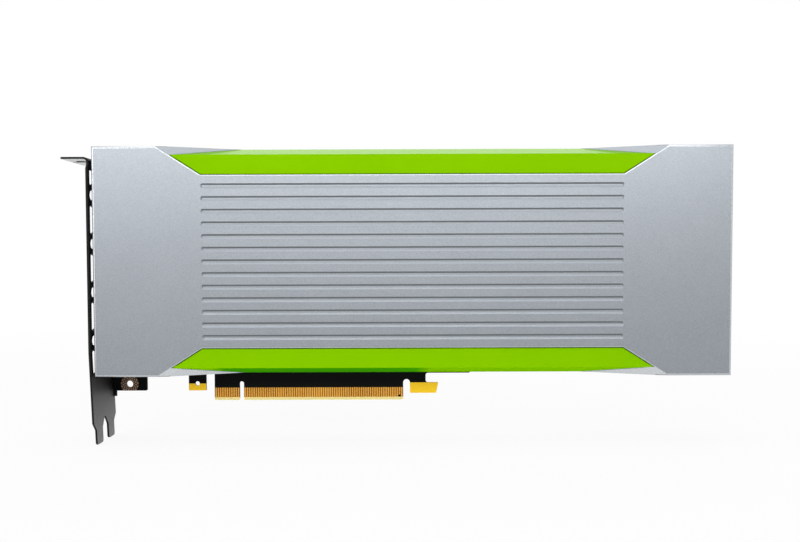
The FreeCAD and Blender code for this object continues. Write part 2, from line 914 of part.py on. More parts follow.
def cover():
    body = block(cover_x, cover_end, cover_y, board_front, cover_bottom_z, cover_top_z)
    rim = [edge for edge in body.Edges if abs(edge.BoundBox.YMax - cover_y) < 1e-6]
    body = body.makeFillet(cover_edge_r, rim).cut([edge_wedge(TOP), edge_wedge(BOTTOM)])
    room = block(cover_x - OVERSHOOT, cover_end + OVERSHOOT, cover_y + cover_wall,
                 board_front + OVERSHOOT, cover_bottom_z + cover_wall, cover_top_z - cover_wall)
    room = room.cut([strip_bed(TOP), strip_bed(BOTTOM)])
    shell = joined([body.cut(room)] + cover_bosses())
    tools = grooves()
    for edge in (TOP, BOTTOM):
        tools += strip_pocket(edge)
    for x, z in boss_places():
        depth = cover_screw_grip + thread_end
        tools.append(peg(x, z, shank_r + thread_fit, above(-OVERSHOOT), above(depth)))
    return shell.cut(tools)


# ---- processor, memory and power parts ---------------------------------------------------------------

def processor_substrate():
    return tile(chip_x, chip_z, substrate, substrate, above(0), above(substrate_thick))


def processor_die():
    top = substrate_thick + die_thick
    return tile(chip_x, chip_z, die_length, die_width, above(substrate_thick), above(top))


def processor_stiffener():
    top = substrate_thick + stiffener_thick
    size = substrate - 1
    outer = tile(chip_x, chip_z, size, size, above(substrate_thick), above(top))
    inner = size - 2 * stiffener_width
    return outer.cut(tile(chip_x, chip_z, inner, inner, above(0), above(top + 1)))


def memory_chips():
    return group([tile(x, z, length, tall, above(0), above(memory_thick))
                  for x, z, length, tall in memory_places()])


def memory_pads():
    top = memory_thick + memory_pad_thick
    return group([tile(x, z, length - 2 * pad_inset, tall - 2 * pad_inset,
                       above(memory_thick), above(top))
                  for x, z, length, tall in memory_places()])


def phase_row(distance, length, tall, low, high):
    """One block per power phase, in a column beside the processor."""
    return [tile(chip_x + distance, z, length, tall, above(low), above(high))
            for z in phase_levels()]


def chokes():
    columns = [phase_row(d, choke, choke, 0, choke_thick) for d in (choke_near, choke_far)]
    return group(columns[0] + columns[1])


def choke_pads():
    size = choke - 2 * pad_inset
    top = choke_thick + choke_pad_thick
    columns = [phase_row(d, size, size, choke_thick, top) for d in (choke_near, choke_far)]
    return group(columns[0] + columns[1])


def power_stages():
    columns = [phase_row(d, stage_length, stage_width, 0, stage_thick)
               for d in (stage_near, stage_far)]
    return group(columns[0] + columns[1])


def stage_pads():
    top = stage_thick + stage_pad_thick
    columns = [phase_row(d, stage_length - pad_inset, stage_width - pad_inset, stage_thick, top)
               for d in (stage_near, stage_far)]
    return group(columns[0] + columns[1])


def output_capacitors():
    length, height, tall = output_capacitor
    return group(phase_row(output_reach, length, tall, 0, height))


def bulk_capacitors():
    x = board_end - bulk_gap
    return group([peg(x, bulk_low_z + i * bulk_pitch, bulk_r, above(0), above(bulk_height), 24)
                  for i in range(bulk_count)])


def input_chokes():
    return group([tile(board_end - input_choke_gap, input_choke_low_z + i * input_choke_pitch,
                       input_choke, input_choke, above(0), above(input_choke_thick))
                  for i in range(input_choke_count)])


def small_capacitors():
    length, height, tall = small_capacitor
    start = -(small_count - 1) / 2 * small_pitch
    steps = [start + i * small_pitch for i in range(small_count)]
    return group([tile(chip_x + x, chip_z + z, length, tall, behind(0), behind(height))
                  for x in steps for z in steps])


# ---- power connector -----------------------------------------------------------------------------------

def header_cells():
    """Height above the board and Z of the middle of each terminal."""
    top_z = cover_top_z - header_top_gap
    cells = []
    for row in range(header_rows):
        for column in range(header_columns):
            height = header_wall + (row + 0.5) * header_cell
            cells.append((height, top_z - header_wall - (column + 0.5) * header_cell))
    return cells


def power_connector():
    mouth = board_end - header_setback
    top_z = cover_top_z - header_top_gap
    low_z = top_z - header_columns * header_cell - 2 * header_wall
    height = header_rows * header_cell + 2 * header_wall
    body = block(mouth - header_depth, mouth, above(0), above(height), low_z, top_z)
    middle = (low_z + top_z) / 2
    ramp = [vec(mouth - header_depth / 2, above(height), middle - latch_width / 2),
            vec(mouth - latch_rise, above(height), middle - latch_width / 2),
            vec(mouth - latch_rise, above(height + latch_rise), middle - latch_width / 2)]
    latch = Part.Face(Part.makePolygon(ramp + ramp[:1])).extrude(vec(0, 0, latch_width))
    half = header_cavity / 2
    cavities = [block(mouth - header_cavity_depth, mouth + OVERSHOOT, above(h - half), above(h + half),
                      z - half, z + half) for h, z in header_cells()]
    return joined([body, latch]).cut(cavities)


def power_pins():
    floor = board_end - header_setback - header_cavity_depth
    half = header_pin / 2
    return group([block(floor, floor + header_pin_length, above(h - half), above(h + half),
                        z - half, z + half) for h, z in header_cells()])


# ---- cooling stack ---------------------------------------------------------------------------------------

def memory_bars():
    """Ridges under the frame that reach the pads on the memory."""
    low, high = memory_thick + memory_pad_thick, frame_lift + frame_thick / 2
    columns_tall = 3 * memory_side_pitch + memory_length
    row_long = 3 * memory_top_pitch + memory_width
    bars = [tile(chip_x + side * memory_side, chip_z, memory_width, columns_tall,
                 above(low), above(high)) for side in (-1, 1)]
    bars.append(tile(chip_x, chip_z + memory_above, row_long, memory_length,
                     above(low), above(high)))
    return bars


def stage_bar():
    """Ridge under the frame that reaches the pads on the power stages."""
    low, high = stage_thick + stage_pad_thick, frame_lift + frame_thick / 2
    levels = phase_levels()
    return block(chip_x + stage_bar_start, chip_x + stage_bar_end, above(low), above(high),
                 levels[0] - stage_width, levels[-1] + stage_width)


def cooling_frame():
    plate = block(frame_x, frame_end, above(frame_lift),
                  above(frame_lift + frame_thick), frame_low_z, frame_high_z)
    posts = [peg(x, z, post_r, above(0), above(frame_lift + frame_thick / 2))
             for x, z in post_places()]
    body = joined([plate, stage_bar()] + memory_bars() + posts)
    window = tile(chip_x, chip_z, 2 * window_half, 2 * window_half, above(0), above(base_lift + 1))
    depth = frame_screw_grip + thread_end
    threads = [peg(x, z, shank_r + thread_fit, above(-OVERSHOOT), above(depth))
               for x, z in post_places()]
    return body.cut([window] + threads)


def fin_levels():
    """Z of each fin's wall: as many as fit between the sloped edges of the cover."""
    front = cover_height - fin_room
    drop = under_slope(front, strip_thick + strip_floor) + fin_clear
    count = int((cover_tall - 2 * drop) / fin_pitch)
    low = (cover_bottom_z + cover_top_z - count * fin_pitch) / 2
    return [low + i * fin_pitch for i in range(count)]


def chamber_plate(grow, low, high):
    """The chamber's rectangle, grown all round, between two heights above the board."""
    width = 2 * (chip_z - fin_levels()[0] + base_rim - chamber_rim)
    return tile(chip_x, chip_z, chamber_length + 2 * grow, width + 2 * grow, above(low), above(high))


def fin_base():
    levels = fin_levels()
    plate = block(fin_x - base_rim, fin_end + base_rim, above(base_lift), above(fin_lift),
                  levels[0] - base_rim, levels[-1] + fin_pitch + base_rim)
    return plate.cut(chamber_plate(chamber_fit, base_lift - 1, fin_lift + 1))


def vapor_chamber():
    """Copper plate under the fins, with a pedestal on the die and four threaded posts."""
    plate = chamber_plate(0, base_lift, fin_lift)
    low = substrate_thick + die_thick + paste_gap
    foot = tile(chip_x, chip_z, pedestal, pedestal, above(low), above(base_lift + 1))
    posts = [peg(x, z, retention_post_r, above(0), above(base_lift + 1))
             for x, z in retention_places()]
    depth = retention_grip + thread_end
    threads = [peg(x, z, shank_r + thread_fit, above(-OVERSHOOT), above(depth))
               for x, z in retention_places()]
    return joined([plate, foot] + posts).cut(threads)


def heatsink_fins():
    """Folded fins, each a channel whose two flanges close the gap to the next."""
    y0, y1 = above(fin_lift), above(fin_room)
    reach = fin_pitch - fin_gap
    t = fin_thick
    fins = []
    for z in fin_levels():
        section = [vec(fin_x, y0, z), vec(fin_x, y1, z), vec(fin_x, y1, z + reach),
                   vec(fin_x, y1 + t, z + reach), vec(fin_x, y1 + t, z + t),
                   vec(fin_x, y0 - t, z + t), vec(fin_x, y0 - t, z + reach), vec(fin_x, y0, z + reach)]
        fins.append(Part.Face(Part.makePolygon(section + section[:1])).extrude(
            vec(fin_end - fin_x, 0, 0)))
    return group(fins)


# ---- back of the card --------------------------------------------------------------------------------------

def backplate_places():
    """Screws that pass through the backplate: all but the two that hold the bracket's ears."""
    return post_places()[2:] + boss_places()


def backplate_ribs():
    """Pressed furrows with pointed ends that stiffen the plate on both sides of its window."""
    top = backplate_gap + backplate_thick
    half = backplate_window / 2
    pitch = backplate_window / rib_count
    r = rib_width / 2
    tools = []
    for x0, x1 in ((backplate_x, chip_x - half), (chip_x + half, backplate_end)):
        start, end = x0 + rib_margin, x1 - rib_margin
        for i in range(rib_count):
            z = chip_z - half + (i + 0.5) * pitch
            outline = [(start, z, 0), (start + r, z - r, 0), (end - r, z - r, 0),
                       (end, z, 0), (end - r, z + r, 0), (start + r, z + r, 0)]
            tools.append(slab_y(outline, behind(top - rib_depth), behind(top + OVERSHOOT)))
    return tools


def backplate():
    outline = rectangle(backplate_x, backplate_end, backplate_low_z, backplate_high_z,
                        backplate_corner_r)
    t = backplate_rim
    inner = rectangle(backplate_x + t, backplate_end - t, backplate_low_z + t, backplate_high_z - t, 0)
    top = backplate_gap + backplate_thick
    tray = slab_y(outline, behind(0), behind(top))
    tray = tray.cut(slab_y(inner, behind(-OVERSHOOT), behind(backplate_gap)))
    feet = [peg(x, z, foot_r, behind(0), behind(top)) for x, z in backplate_places()]
    body = joined([tray] + feet)
    tools = backplate_ribs()
    tools.append(slab_y(square(chip_x, chip_z, backplate_window, 5.0), behind(-1), behind(top + 1)))
    for x, z in backplate_places():
        tools.append(peg(x, z, shank_r + hole_fit, behind(-1), behind(top + 1)))
    return body.cut(tools)


def retention_plate():
    """A cross with round ends and a square core, open in the middle."""
    start, stop = behind(0), behind(retention_thick)
    arm = 2 * math.hypot(retention_half, retention_half) + retention_arm
    bar = rectangle(chip_x - arm / 2, chip_x + arm / 2, chip_z - retention_arm / 2,
                    chip_z + retention_arm / 2, retention_arm / 2)
    shapes = [slab_y(square(chip_x, chip_z, retention_core, 3.0), start, stop)]
    for angle in (45, 135):
        shapes.append(slab_y(bar, start, stop))
        shapes[-1].rotate(vec(chip_x, 0, chip_z), vec(0, 1, 0), angle)
    tools = [tile(chip_x, chip_z, retention_opening, retention_opening, start - 1, stop + 1)]
    for x, z in retention_places():
        tools.append(peg(x, z, shank_r + hole_fit, start - 1, stop + 1))
    return joined(shapes).cut(tools)


def screw(x, z, seat, grip):
    """Pan-head screw whose head sits this far behind the board and whose tip is in front."""
    head = peg(x, z, head_r, behind(seat), behind(seat + head_thick))
    return head.fuse(peg(x, z, shank_r, behind(seat), above(grip))).removeSplitter()


def cover_screws():
    seat = backplate_gap + backplate_thick
    return group([screw(x, z, seat, cover_screw_grip) for x, z in boss_places()])


def frame_screws():
    seat = backplate_gap + backplate_thick
    return group([screw(x, z, seat, frame_screw_grip) for x, z in post_places()[2:]])


def ear_screws():
    return group([screw(x, z, sheet, frame_screw_grip) for x, z in ear_places()])


def retention_screws():
    return group([screw(x, z, retention_thick, retention_grip) for x, z in retention_places()])


# ---- export ------------------------------------------------------------------------------------------------

def pieces():
    return {
        "cover": cover(),
        "corner_blocks": corner_blocks(),
        "top_accent": accent(TOP),
        "bottom_accent": accent(BOTTOM),
        "bracket": bracket(),
        "circuit_board": circuit_board(),
        "front_contacts": edge_contacts(board_front, -1, front_short),
        "back_contacts": edge_contacts(board_back, 1, back_short),
        "hook_plating": hook_plating(),
        "tab_plating": tab_plating(),
        "ground_rings": ground_rings(),
        "processor_substrate": processor_substrate(),
        "processor_die": processor_die(),
        "processor_stiffener": processor_stiffener(),
        "memory_chips": memory_chips(),
        "memory_pads": memory_pads(),
        "power_stages": power_stages(),
        "stage_pads": stage_pads(),
        "chokes": chokes(),
        "choke_pads": choke_pads(),
        "output_capacitors": output_capacitors(),
        "bulk_capacitors": bulk_capacitors(),
        "input_chokes": input_chokes(),
        "small_capacitors": small_capacitors(),
        "power_connector": power_connector(),
        "power_pins": power_pins(),
        "cooling_frame": cooling_frame(),
        "fin_base": fin_base(),
        "vapor_chamber": vapor_chamber(),
        "heatsink_fins": heatsink_fins(),
        "backplate": backplate(),
        "retention_plate": retention_plate(),
        "cover_screws": cover_screws(),
        "frame_screws": frame_screws(),
        "ear_screws": ear_screws(),
        "retention_screws": retention_screws(),
    }


os.makedirs("parts", exist_ok=True)
for node, shape in pieces().items():
    shape.exportStep("parts/" + node + ".step")
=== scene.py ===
# %% [markdown]
# # Dressing a passive accelerator card
#
# The card is a circuit board with a silver cover, green edge strips, a slot bracket and a gold
# edge connector. Its solids come ready made as a fixed frame. This lesson gives them their
# finishes, rounds the edges that catch the light, and swaps the plain screws for real-looking
# ones. Everything is in metres: X runs along the card, Y from the cover to the back, Z up.

# %% Load the solids
import math

import bmesh
import bpy
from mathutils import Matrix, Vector


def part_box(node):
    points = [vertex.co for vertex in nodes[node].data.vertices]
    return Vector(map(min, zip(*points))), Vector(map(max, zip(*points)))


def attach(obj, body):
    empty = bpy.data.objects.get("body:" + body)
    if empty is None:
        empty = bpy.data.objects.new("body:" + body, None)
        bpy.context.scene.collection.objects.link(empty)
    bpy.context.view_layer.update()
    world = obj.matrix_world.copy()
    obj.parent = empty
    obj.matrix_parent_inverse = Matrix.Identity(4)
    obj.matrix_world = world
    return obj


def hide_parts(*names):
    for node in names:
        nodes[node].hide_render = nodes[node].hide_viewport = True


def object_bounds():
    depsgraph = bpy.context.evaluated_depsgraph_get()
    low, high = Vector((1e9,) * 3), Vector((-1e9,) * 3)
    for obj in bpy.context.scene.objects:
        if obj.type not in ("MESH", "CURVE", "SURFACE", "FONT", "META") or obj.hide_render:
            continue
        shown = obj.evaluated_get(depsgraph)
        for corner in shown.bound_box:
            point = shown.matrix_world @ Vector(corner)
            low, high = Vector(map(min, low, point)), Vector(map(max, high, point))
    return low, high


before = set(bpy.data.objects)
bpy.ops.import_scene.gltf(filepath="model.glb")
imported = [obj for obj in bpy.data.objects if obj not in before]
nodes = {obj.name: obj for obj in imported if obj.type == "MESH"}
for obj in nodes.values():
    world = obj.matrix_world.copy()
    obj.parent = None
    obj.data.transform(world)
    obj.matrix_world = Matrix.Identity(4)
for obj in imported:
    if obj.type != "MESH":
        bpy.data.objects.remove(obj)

cad_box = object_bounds()
print("loaded", len(nodes), "nodes; box", [[round(v, 4) for v in corner] for corner in cad_box])

# %% [markdown]
# ## The camera
#
# The card is seen from the front, a little above its middle, from about half a metre away. From
# further off it would look flat, like a drawing. From here a lens of 54 mm lets the sides of the
# cover only just show. The camera could be tilted until the card is framed, but then upright
# edges would lean. A small shift of the lens frames it and leaves them as they are.

# %% Camera
MM = 0.001
CAMERA_PLACE = (68.9, -530.9, 64.5)         # mm
LOOK_DOWN, ROLL = 3.17, 0.18                # degrees
LENS, SENSOR = 53.58, 36                    # mm
SHIFT_ALONG, SHIFT_UP = 0.0056, 0.0627      # shares of the sensor


def place_camera():
    data = bpy.data.cameras.new("camera")
    data.sensor_width, data.lens = SENSOR, LENS
    data.shift_x, data.shift_y = SHIFT_ALONG, SHIFT_UP
    data.clip_start = 10 * MM
    camera = bpy.data.objects.new("camera", data)
    camera.location = Vector(CAMERA_PLACE) * MM
    camera.rotation_euler = (math.radians(90 - LOOK_DOWN), math.radians(ROLL), 0)
    bpy.context.collection.objects.link(camera)
    bpy.context.scene.camera = camera
    return camera


print("camera at", place_camera().location)

# %% [markdown]
# ## Short words for common nodes
#
# Every material here is built from the same few nodes. They could be written out each time, in
# four lines apiece. Small helpers say it in one. The first sets a socket to a value, or links
# it when it gets another socket. The second uses that for a Math node.

# %% Feeding sockets
def feed(tree, socket, value):
    """Links one socket to another, or sets it when the value is a plain one."""
    if isinstance(value, bpy.types.NodeSocket):
        tree.links.new(value, socket)
    else:
        socket.default_value = value


def math_node(tree, operation, *values):
    node = tree.nodes.new("ShaderNodeMath")
    node.operation = operation
    for socket, value in zip(node.inputs, values):
        feed(tree, socket, value)
    return node.outputs[0]


print("helpers: feed, math_node")

# %% [markdown]
# Two more nodes are needed all the time: one turns a range of values into another range, and
# one fades a value or a colour into another. A colour ramp could do both, but its stops can't
# be fed by a socket.

# %% Ranges and mixes
def ranged(tree, value, start=0.0, end=1.0, low=0.0, high=1.0):
    """Turns start..end into low..high, and holds it there outside."""
    node = tree.nodes.new("ShaderNodeMapRange")
    for name, given in (("Value", value), ("From Min", start), ("From Max", end),
                        ("To Min", low), ("To Max", high)):
        feed(tree, node.inputs[name], given)
    return node.outputs[0]


def mixed(tree, share, first, second, kind="RGBA"):
    node = tree.nodes.new("ShaderNodeMix")
    node.data_type = kind
    for name, given in (("Factor", share), ("A", first), ("B", second)):
        feed(tree, node.inputs[name], given)
    return node.outputs["Result"]


print("helpers: ranged, mixed")

# %% [markdown]
# Painted shade on the bracket or a bare edge depends on where on the card it is. That could be
# drawn on an unwrapped surface, one for each piece. But all solids share one frame, so their
# Object coordinates give the place straight away, in metres.

# %% Place on the card
def place_in(tree):
    """The X, Y and Z of the place that is being shaded, in metres."""
    place = tree.nodes.new("ShaderNodeTexCoord")
    parts = tree.nodes.new("ShaderNodeSeparateXYZ")
    tree.links.new(place.outputs["Object"], parts.inputs[0])
    return parts.outputs


print("helper: place_in")

# %% [markdown]
# ## The studio
#
# A product like this is lit by big soft boxes in a white room. One plain white world would be
# the simplest room, but it would burn out the pale cover. So the world is white only where the
# camera, the metal or glass look at it, and a calmer grey where it lights matt surfaces. A Light
# Path node tells the two apart.

# %% Seen or only lit
def seen_directly(tree):
    """A value that is 1 for what the camera, a reflection or glass shows, and 0 otherwise."""
    path = tree.nodes.new("ShaderNodeLightPath").outputs
    mirrored = math_node(tree, "MAXIMUM", path["Is Camera Ray"], path["Is Glossy Ray"])
    return math_node(tree, "MAXIMUM", mirrored, path["Is Transmission Ray"])


print("helper: seen_directly")

# %% [markdown]
# The light of the grey part comes more from above, as from a ceiling, so that the undersides of
# the card stay a little darker than its top. A sky texture would do that too, but it would also
# tint the silver blue.

# %% World
scene = bpy.context.scene
scene.view_settings.view_transform = "Standard"
WALL_LIGHT, CEILING_LIGHT = 0.14, 0.3


def white_room():
    """A world that shows white and lights more from its ceiling than from its walls."""
    world = bpy.data.worlds.new("white room")
    world.use_nodes = True
    tree = world.node_tree
    sky = tree.nodes["Background"]
    sky.inputs["Color"].default_value = (1, 1, 1, 1)
    direction = tree.nodes.new("ShaderNodeTexCoord")
    parts = tree.nodes.new("ShaderNodeSeparateXYZ")
    tree.links.new(direction.outputs["Generated"], parts.inputs[0])
    light = ranged(tree, parts.outputs["Z"], low=WALL_LIGHT, high=CEILING_LIGHT)
    tree.links.new(ranged(tree, seen_directly(tree), low=light), sky.inputs["Strength"])
    return world


scene.world = white_room()
print("walls at", WALL_LIGHT, "and ceiling at", CEILING_LIGHT)

# %% [markdown]
# The floor is a wide pale sheet just below the bracket's tongues. As plain matt white it would
# end in a grey horizon. Most of what the camera sees of it is therefore its own white glow, and
# all of it further out, so that the floor melts into the background. Close to the card the rest
# is matt, which keeps a soft shadow.

# %% Floor paint
NEAR_GLOW = 0.9                             # the share of glow close to the card
GLOW_STARTS, GLOW_FULL = 0.15, 0.9          # metres from the card


def floor_paint():
    material = bpy.data.materials.new("pale floor")
    material.use_nodes = True
    tree = material.node_tree
    matt = tree.nodes["Principled BSDF"]
    matt.inputs["Base Color"].default_value = (0.86, 0.86, 0.86, 1)
    matt.inputs["Roughness"].default_value = 0.9
    glow = tree.nodes.new("ShaderNodeEmission")
    place = tree.nodes.new("ShaderNodeTexCoord")
    distance = tree.nodes.new("ShaderNodeVectorMath")
    distance.operation = "LENGTH"
    tree.links.new(place.outputs["Object"], distance.inputs[0])
    fade = ranged(tree, distance.outputs["Value"], GLOW_STARTS, GLOW_FULL, low=NEAR_GLOW)
    mix = tree.nodes.new("ShaderNodeMixShader")
    tree.links.new(math_node(tree, "MULTIPLY", seen_directly(tree), fade), mix.inputs["Fac"])
    tree.links.new(matt.outputs[0], mix.inputs[1])
    tree.links.new(glow.outputs[0], mix.inputs[2])
    tree.links.new(mix.outputs[0], tree.nodes["Material Output"].inputs["Surface"])
    return material


print("glow", NEAR_GLOW, "to", GLOW_STARTS, "m, full from", GLOW_FULL, "m")

# %% [markdown]
# The sheet itself is one square, 8 m wide. It lies a hair below the card, not against it, so
# that the tongues don't share a plane with it.

# %% Floor
FLOOR_GAP = 0.4                             # mm below the lowest tongue


def pale_floor(z, reach=4.0):
    corners = [(-reach, -reach, z), (reach, -reach, z), (reach, reach, z), (-reach, reach, z)]
    mesh = bpy.data.meshes.new("floor")
    mesh.from_pydata(corners, [], [(0, 1, 2, 3)])
    mesh.materials.append(floor_paint())
    floor = bpy.data.objects.new("floor", mesh)
    bpy.context.collection.objects.link(floor)
    return floor


floor_z = cad_box[0][2] - FLOOR_GAP * MM
pale_floor(floor_z)
print("floor at", round(floor_z, 4))

# %% [markdown]
# Four soft boxes: a long key in front and above, whose reflection makes the satin cover fade
# from light at the top to grey below; a small one at the left, which keeps that side a little
# lighter; one overhead, which draws a bright line along every edge that faces up; and one
# behind, for the back of the card. Area lamps are used, because small bright ones would show
# as hard spots in the metal.

# %% Lamps
LAMP_TARGET = Vector((0.0735, -0.018, 0.055))       # near the middle of the card


def soft_box(name, place, length, width, watts):
    data = bpy.data.lights.new(name, "AREA")
    data.shape = "RECTANGLE"
    data.size = length
    data.size_y = width
    data.energy = watts
    lamp = bpy.data.objects.new(name, data)
    lamp.location = place
    lamp.rotation_euler = (LAMP_TARGET - Vector(place)).to_track_quat("-Z", "Y").to_euler()
    bpy.context.collection.objects.link(lamp)
    return lamp


for name, place, length, width, watts in (("key", (0.0, -0.95, 0.38), 1.2, 0.25, 7.0),
                                          ("left", (-0.62, -0.8, 0.14), 0.2, 0.25, 0.7),
                                          ("overhead", (0.05, -0.12, 0.9), 0.8, 0.8, 3.5),
                                          ("rear", (0.2, 0.95, 0.6), 0.9, 0.9, 4.0)):
    soft_box(name, place, length, width, watts)
    print(name, "lamp,", watts, "W")

# %% [markdown]
# ## Grain: one effect for many finishes
#
# Cast, coated and moulded surfaces all show a fine grain. Each material could hold its own
# noise nodes, but then a change would have to be made twenty times. A node group is built once
# and placed in every material with its own values. This helper makes an empty group with named
# sockets, and gives back where its values come in and where its results go out.

# %% Group helper
COLOUR, NUMBER = "NodeSocketColor", "NodeSocketFloat"


def new_group(name, inputs, outputs):
    """A shader node group with named sockets, given as (name, type, default)."""
    group = bpy.data.node_groups.new(name, "ShaderNodeTree")
    for socket, kind, default in inputs:
        made = group.interface.new_socket(socket, in_out="INPUT", socket_type=kind)
        made.default_value = default
    for socket, kind in outputs:
        group.interface.new_socket(socket, in_out="OUTPUT", socket_type=kind)
    print("group:", name, "with", len(inputs), "inputs and", len(outputs), "outputs")
    given = group.nodes.new("NodeGroupInput").outputs
    return group, given, group.nodes.new("NodeGroupOutput").inputs


# %% [markdown]
# In the grain, the colour varies a little from speck to speck, and so do the gloss and the
# height. The inputs set the size of the specks and how far colour and gloss swing. The outputs
# feed Base Color, Roughness and the Height of a Bump node. One noise alone looks like printed
# dots; wide, faint clouds under it make it look like a real coat.

# %% Grain group
CLOUDS_PER_METRE = 45.0
NOISE_LOW, NOISE_HIGH = 0.3, 0.7            # noise runs from 0 to 1 but seldom leaves these


def noise(tree, scale, detail):
    place = tree.nodes.new("ShaderNodeTexCoord")
    pattern = tree.nodes.new("ShaderNodeTexNoise")
    tree.links.new(place.outputs["Object"], pattern.inputs["Vector"])
    feed(tree, pattern.inputs["Scale"], scale)
    pattern.inputs["Detail"].default_value = detail
    return pattern.outputs["Fac"]


def grain_group():
    """Fine specks blended with wide clouds, as a colour, a roughness and a height."""
    group, given, result = new_group(
        "fine grain",
        [("Dark", COLOUR, (0.1, 0.1, 0.1, 1)), ("Light", COLOUR, (0.2, 0.2, 0.2, 1)),
         ("Specks per Metre", NUMBER, 3000.0), ("Cloud Share", NUMBER, 0.3),
         ("Smooth", NUMBER, 0.3), ("Rough", NUMBER, 0.5)],
        [("Colour", COLOUR), ("Roughness", NUMBER), ("Height", NUMBER)])
    specks = noise(group, given["Specks per Metre"], detail=2.0)
    clouds = noise(group, CLOUDS_PER_METRE, detail=3.0)
    blend = mixed(group, given["Cloud Share"], specks, clouds, kind="FLOAT")
    spread = ranged(group, blend, NOISE_LOW, NOISE_HIGH)
    colour = mixed(group, spread, given["Dark"], given["Light"])
    gloss = ranged(group, spread, low=given["Smooth"], high=given["Rough"])
    for made, socket in ((colour, "Colour"), (gloss, "Roughness"), (specks, "Height")):
        group.links.new(made, result[socket])
    return group


GRAIN = grain_group()

# %% [markdown]
# Colours are easiest to choose as on a paint chart, from 0 to 255 for red, green and blue.
# Shaders add up light and need linear values instead. Blender's own window turns one into the
# other by itself, but a script has to do it.

# %% Chart colours
def linear(red, green, blue):
    """A colour given from 0 to 255, as shaders want it."""
    def one(value):
        value /= 255
        return value / 12.92 if value <= 0.04045 else ((value + 0.055) / 1.055) ** 2.4
    return one(red), one(green), one(blue), 1


print("chart grey 128 is", round(linear(128, 128, 128)[0], 3), "for a shader")

# %% [markdown]
# A finish is then a material with a Principled shader, the grain group and a Bump node. It
# takes the two colours between which the grain swings. The rest has defaults for a plain satin
# plastic, so each finish below says only how it differs from that.

# %% Finish helper
def finish(name, dark, light, specks=3000, clouds=0.3, gloss=(0.4, 0.55), metal=0.0, bump=0.02,
           shine=0.5):
    """A grained material. bump is the height of the grain in millimetres, shine 0.5 is usual."""
    material = bpy.data.materials.new(name)
    material.use_nodes = True
    n, link = material.node_tree.nodes, material.node_tree.links.new
    shader = n["Principled BSDF"]
    shader.inputs["Metallic"].default_value = metal
    shader.inputs["Specular IOR Level"].default_value = shine
    grain = n.new("ShaderNodeGroup")
    grain.node_tree = GRAIN
    for socket, value in (("Dark", linear(*dark)), ("Light", linear(*light)),
                          ("Specks per Metre", specks), ("Cloud Share", clouds),
                          ("Smooth", gloss[0]), ("Rough", gloss[1])):
        grain.inputs[socket].default_value = value
    raised = n.new("ShaderNodeBump")
    raised.name = "bump"
    raised.inputs["Distance"].default_value = bump * MM
    link(grain.outputs["Height"], raised.inputs["Height"])
    link(raised.outputs["Normal"], shader.inputs["Normal"])
    link(grain.outputs["Colour"], shader.inputs["Base Color"])
    link(grain.outputs["Roughness"], shader.inputs["Roughness"])
    print("finish:", name)
    return material


print("helper: finish")

# %% [markdown]
# A piece that keeps the mesh it came with gets a finish alone. Its list of materials is emptied
# first, so that nothing is left of the plain one.

# %% Dressing a node
def dress(material, *names):
    """Gives CAD nodes this material."""
    for name in names:
        nodes[name].data.materials.clear()
        nodes[name].data.materials.append(material)
    print(material.name, "on", ", ".join(names))


print("nodes to dress:", len(nodes))

# %% [markdown]
# ## Tint: a second colour in some places
#
# Several pieces change colour along the way: painted shade darkens the bracket beside the
# cover, an edge shows what lies under it, and painted shade darkens a side of the strips. It
# could be painted on by hand. A second node group does it from the shape itself: it fades the
# colour it gets into a tint, where a value goes from Start to End. With 0 and 1, which are the
# defaults, the value works as a mask.

# %% Tint group
def tint_group():
    group, given, result = new_group(
        "tint",
        [("Colour", COLOUR, (0.5, 0.5, 0.5, 1)), ("Tint", COLOUR, (0.1, 0.1, 0.1, 1)),
         ("Value", NUMBER, 0.0), ("Start", NUMBER, 0.0), ("End", NUMBER, 1.0)],
        [("Colour", COLOUR)])
    share = ranged(group, given["Value"], given["Start"], given["End"])
    group.links.new(mixed(group, share, given["Colour"], given["Tint"]), result["Colour"])
    return group


TINT = tint_group()


def tinted(material, tint, value, start=0.0, end=1.0):
    """Fades the material's colour into a tint, on top of what it already shows."""
    tree = material.node_tree
    base = tree.nodes["Principled BSDF"].inputs["Base Color"]
    before = base.links[0].from_socket
    tint_node = tree.nodes.new("ShaderNodeGroup")
    tint_node.node_tree = TINT
    for socket, given in (("Colour", before), ("Tint", linear(*tint)), ("Value", value),
                          ("Start", start), ("End", end)):
        feed(tree, tint_node.inputs[socket], given)
    tree.links.new(tint_node.outputs["Colour"], base)


# %% [markdown]
# ## Silver cover
#
# The cover is an aluminium shell with a satin metallic finish: bright, cool grey, with a fine
# glittering grain and no brush marks. A fully metallic shader would only mirror the white
# room, so the finish is part metal, part pale pigment, the way metallic paint behaves.

# %% Silver
silver = finish("satin silver", (124, 129, 134), (140, 145, 150), specks=2600, clouds=0.1,
                gloss=(0.32, 0.37), metal=0.9, bump=0.012)

# %% [markdown]
# Sharp CAD corners never catch a highlight, and real ones always do. A Bevel modifier would
# round every edge alike. The helpers below work on the mesh instead, so that each edge can get
# the radius it has on the real piece: they merge the node's triangles into clean faces, pick
# the sharp edges, and cut them.

# %% Rounding edges
SAME_POINT, SAME_PLANE = 1e-6, 0.5          # metres, degrees
SHARP = 22                                  # degrees that an edge turns, at least


def clean_copy(node):
    """A CAD node's mesh, merged into as few faces as it really has."""
    shape = bmesh.new()
    shape.from_mesh(nodes[node].data)
    bmesh.ops.remove_doubles(shape, verts=shape.verts, dist=SAME_POINT)
    bmesh.ops.dissolve_limit(shape, angle_limit=math.radians(SAME_PLANE), verts=shape.verts,
                             edges=shape.edges)
    return shape


def sharp_edges(shape):
    return [e for e in shape.edges
            if len(e.link_faces) == 2 and e.calc_face_angle(0) > math.radians(SHARP)]


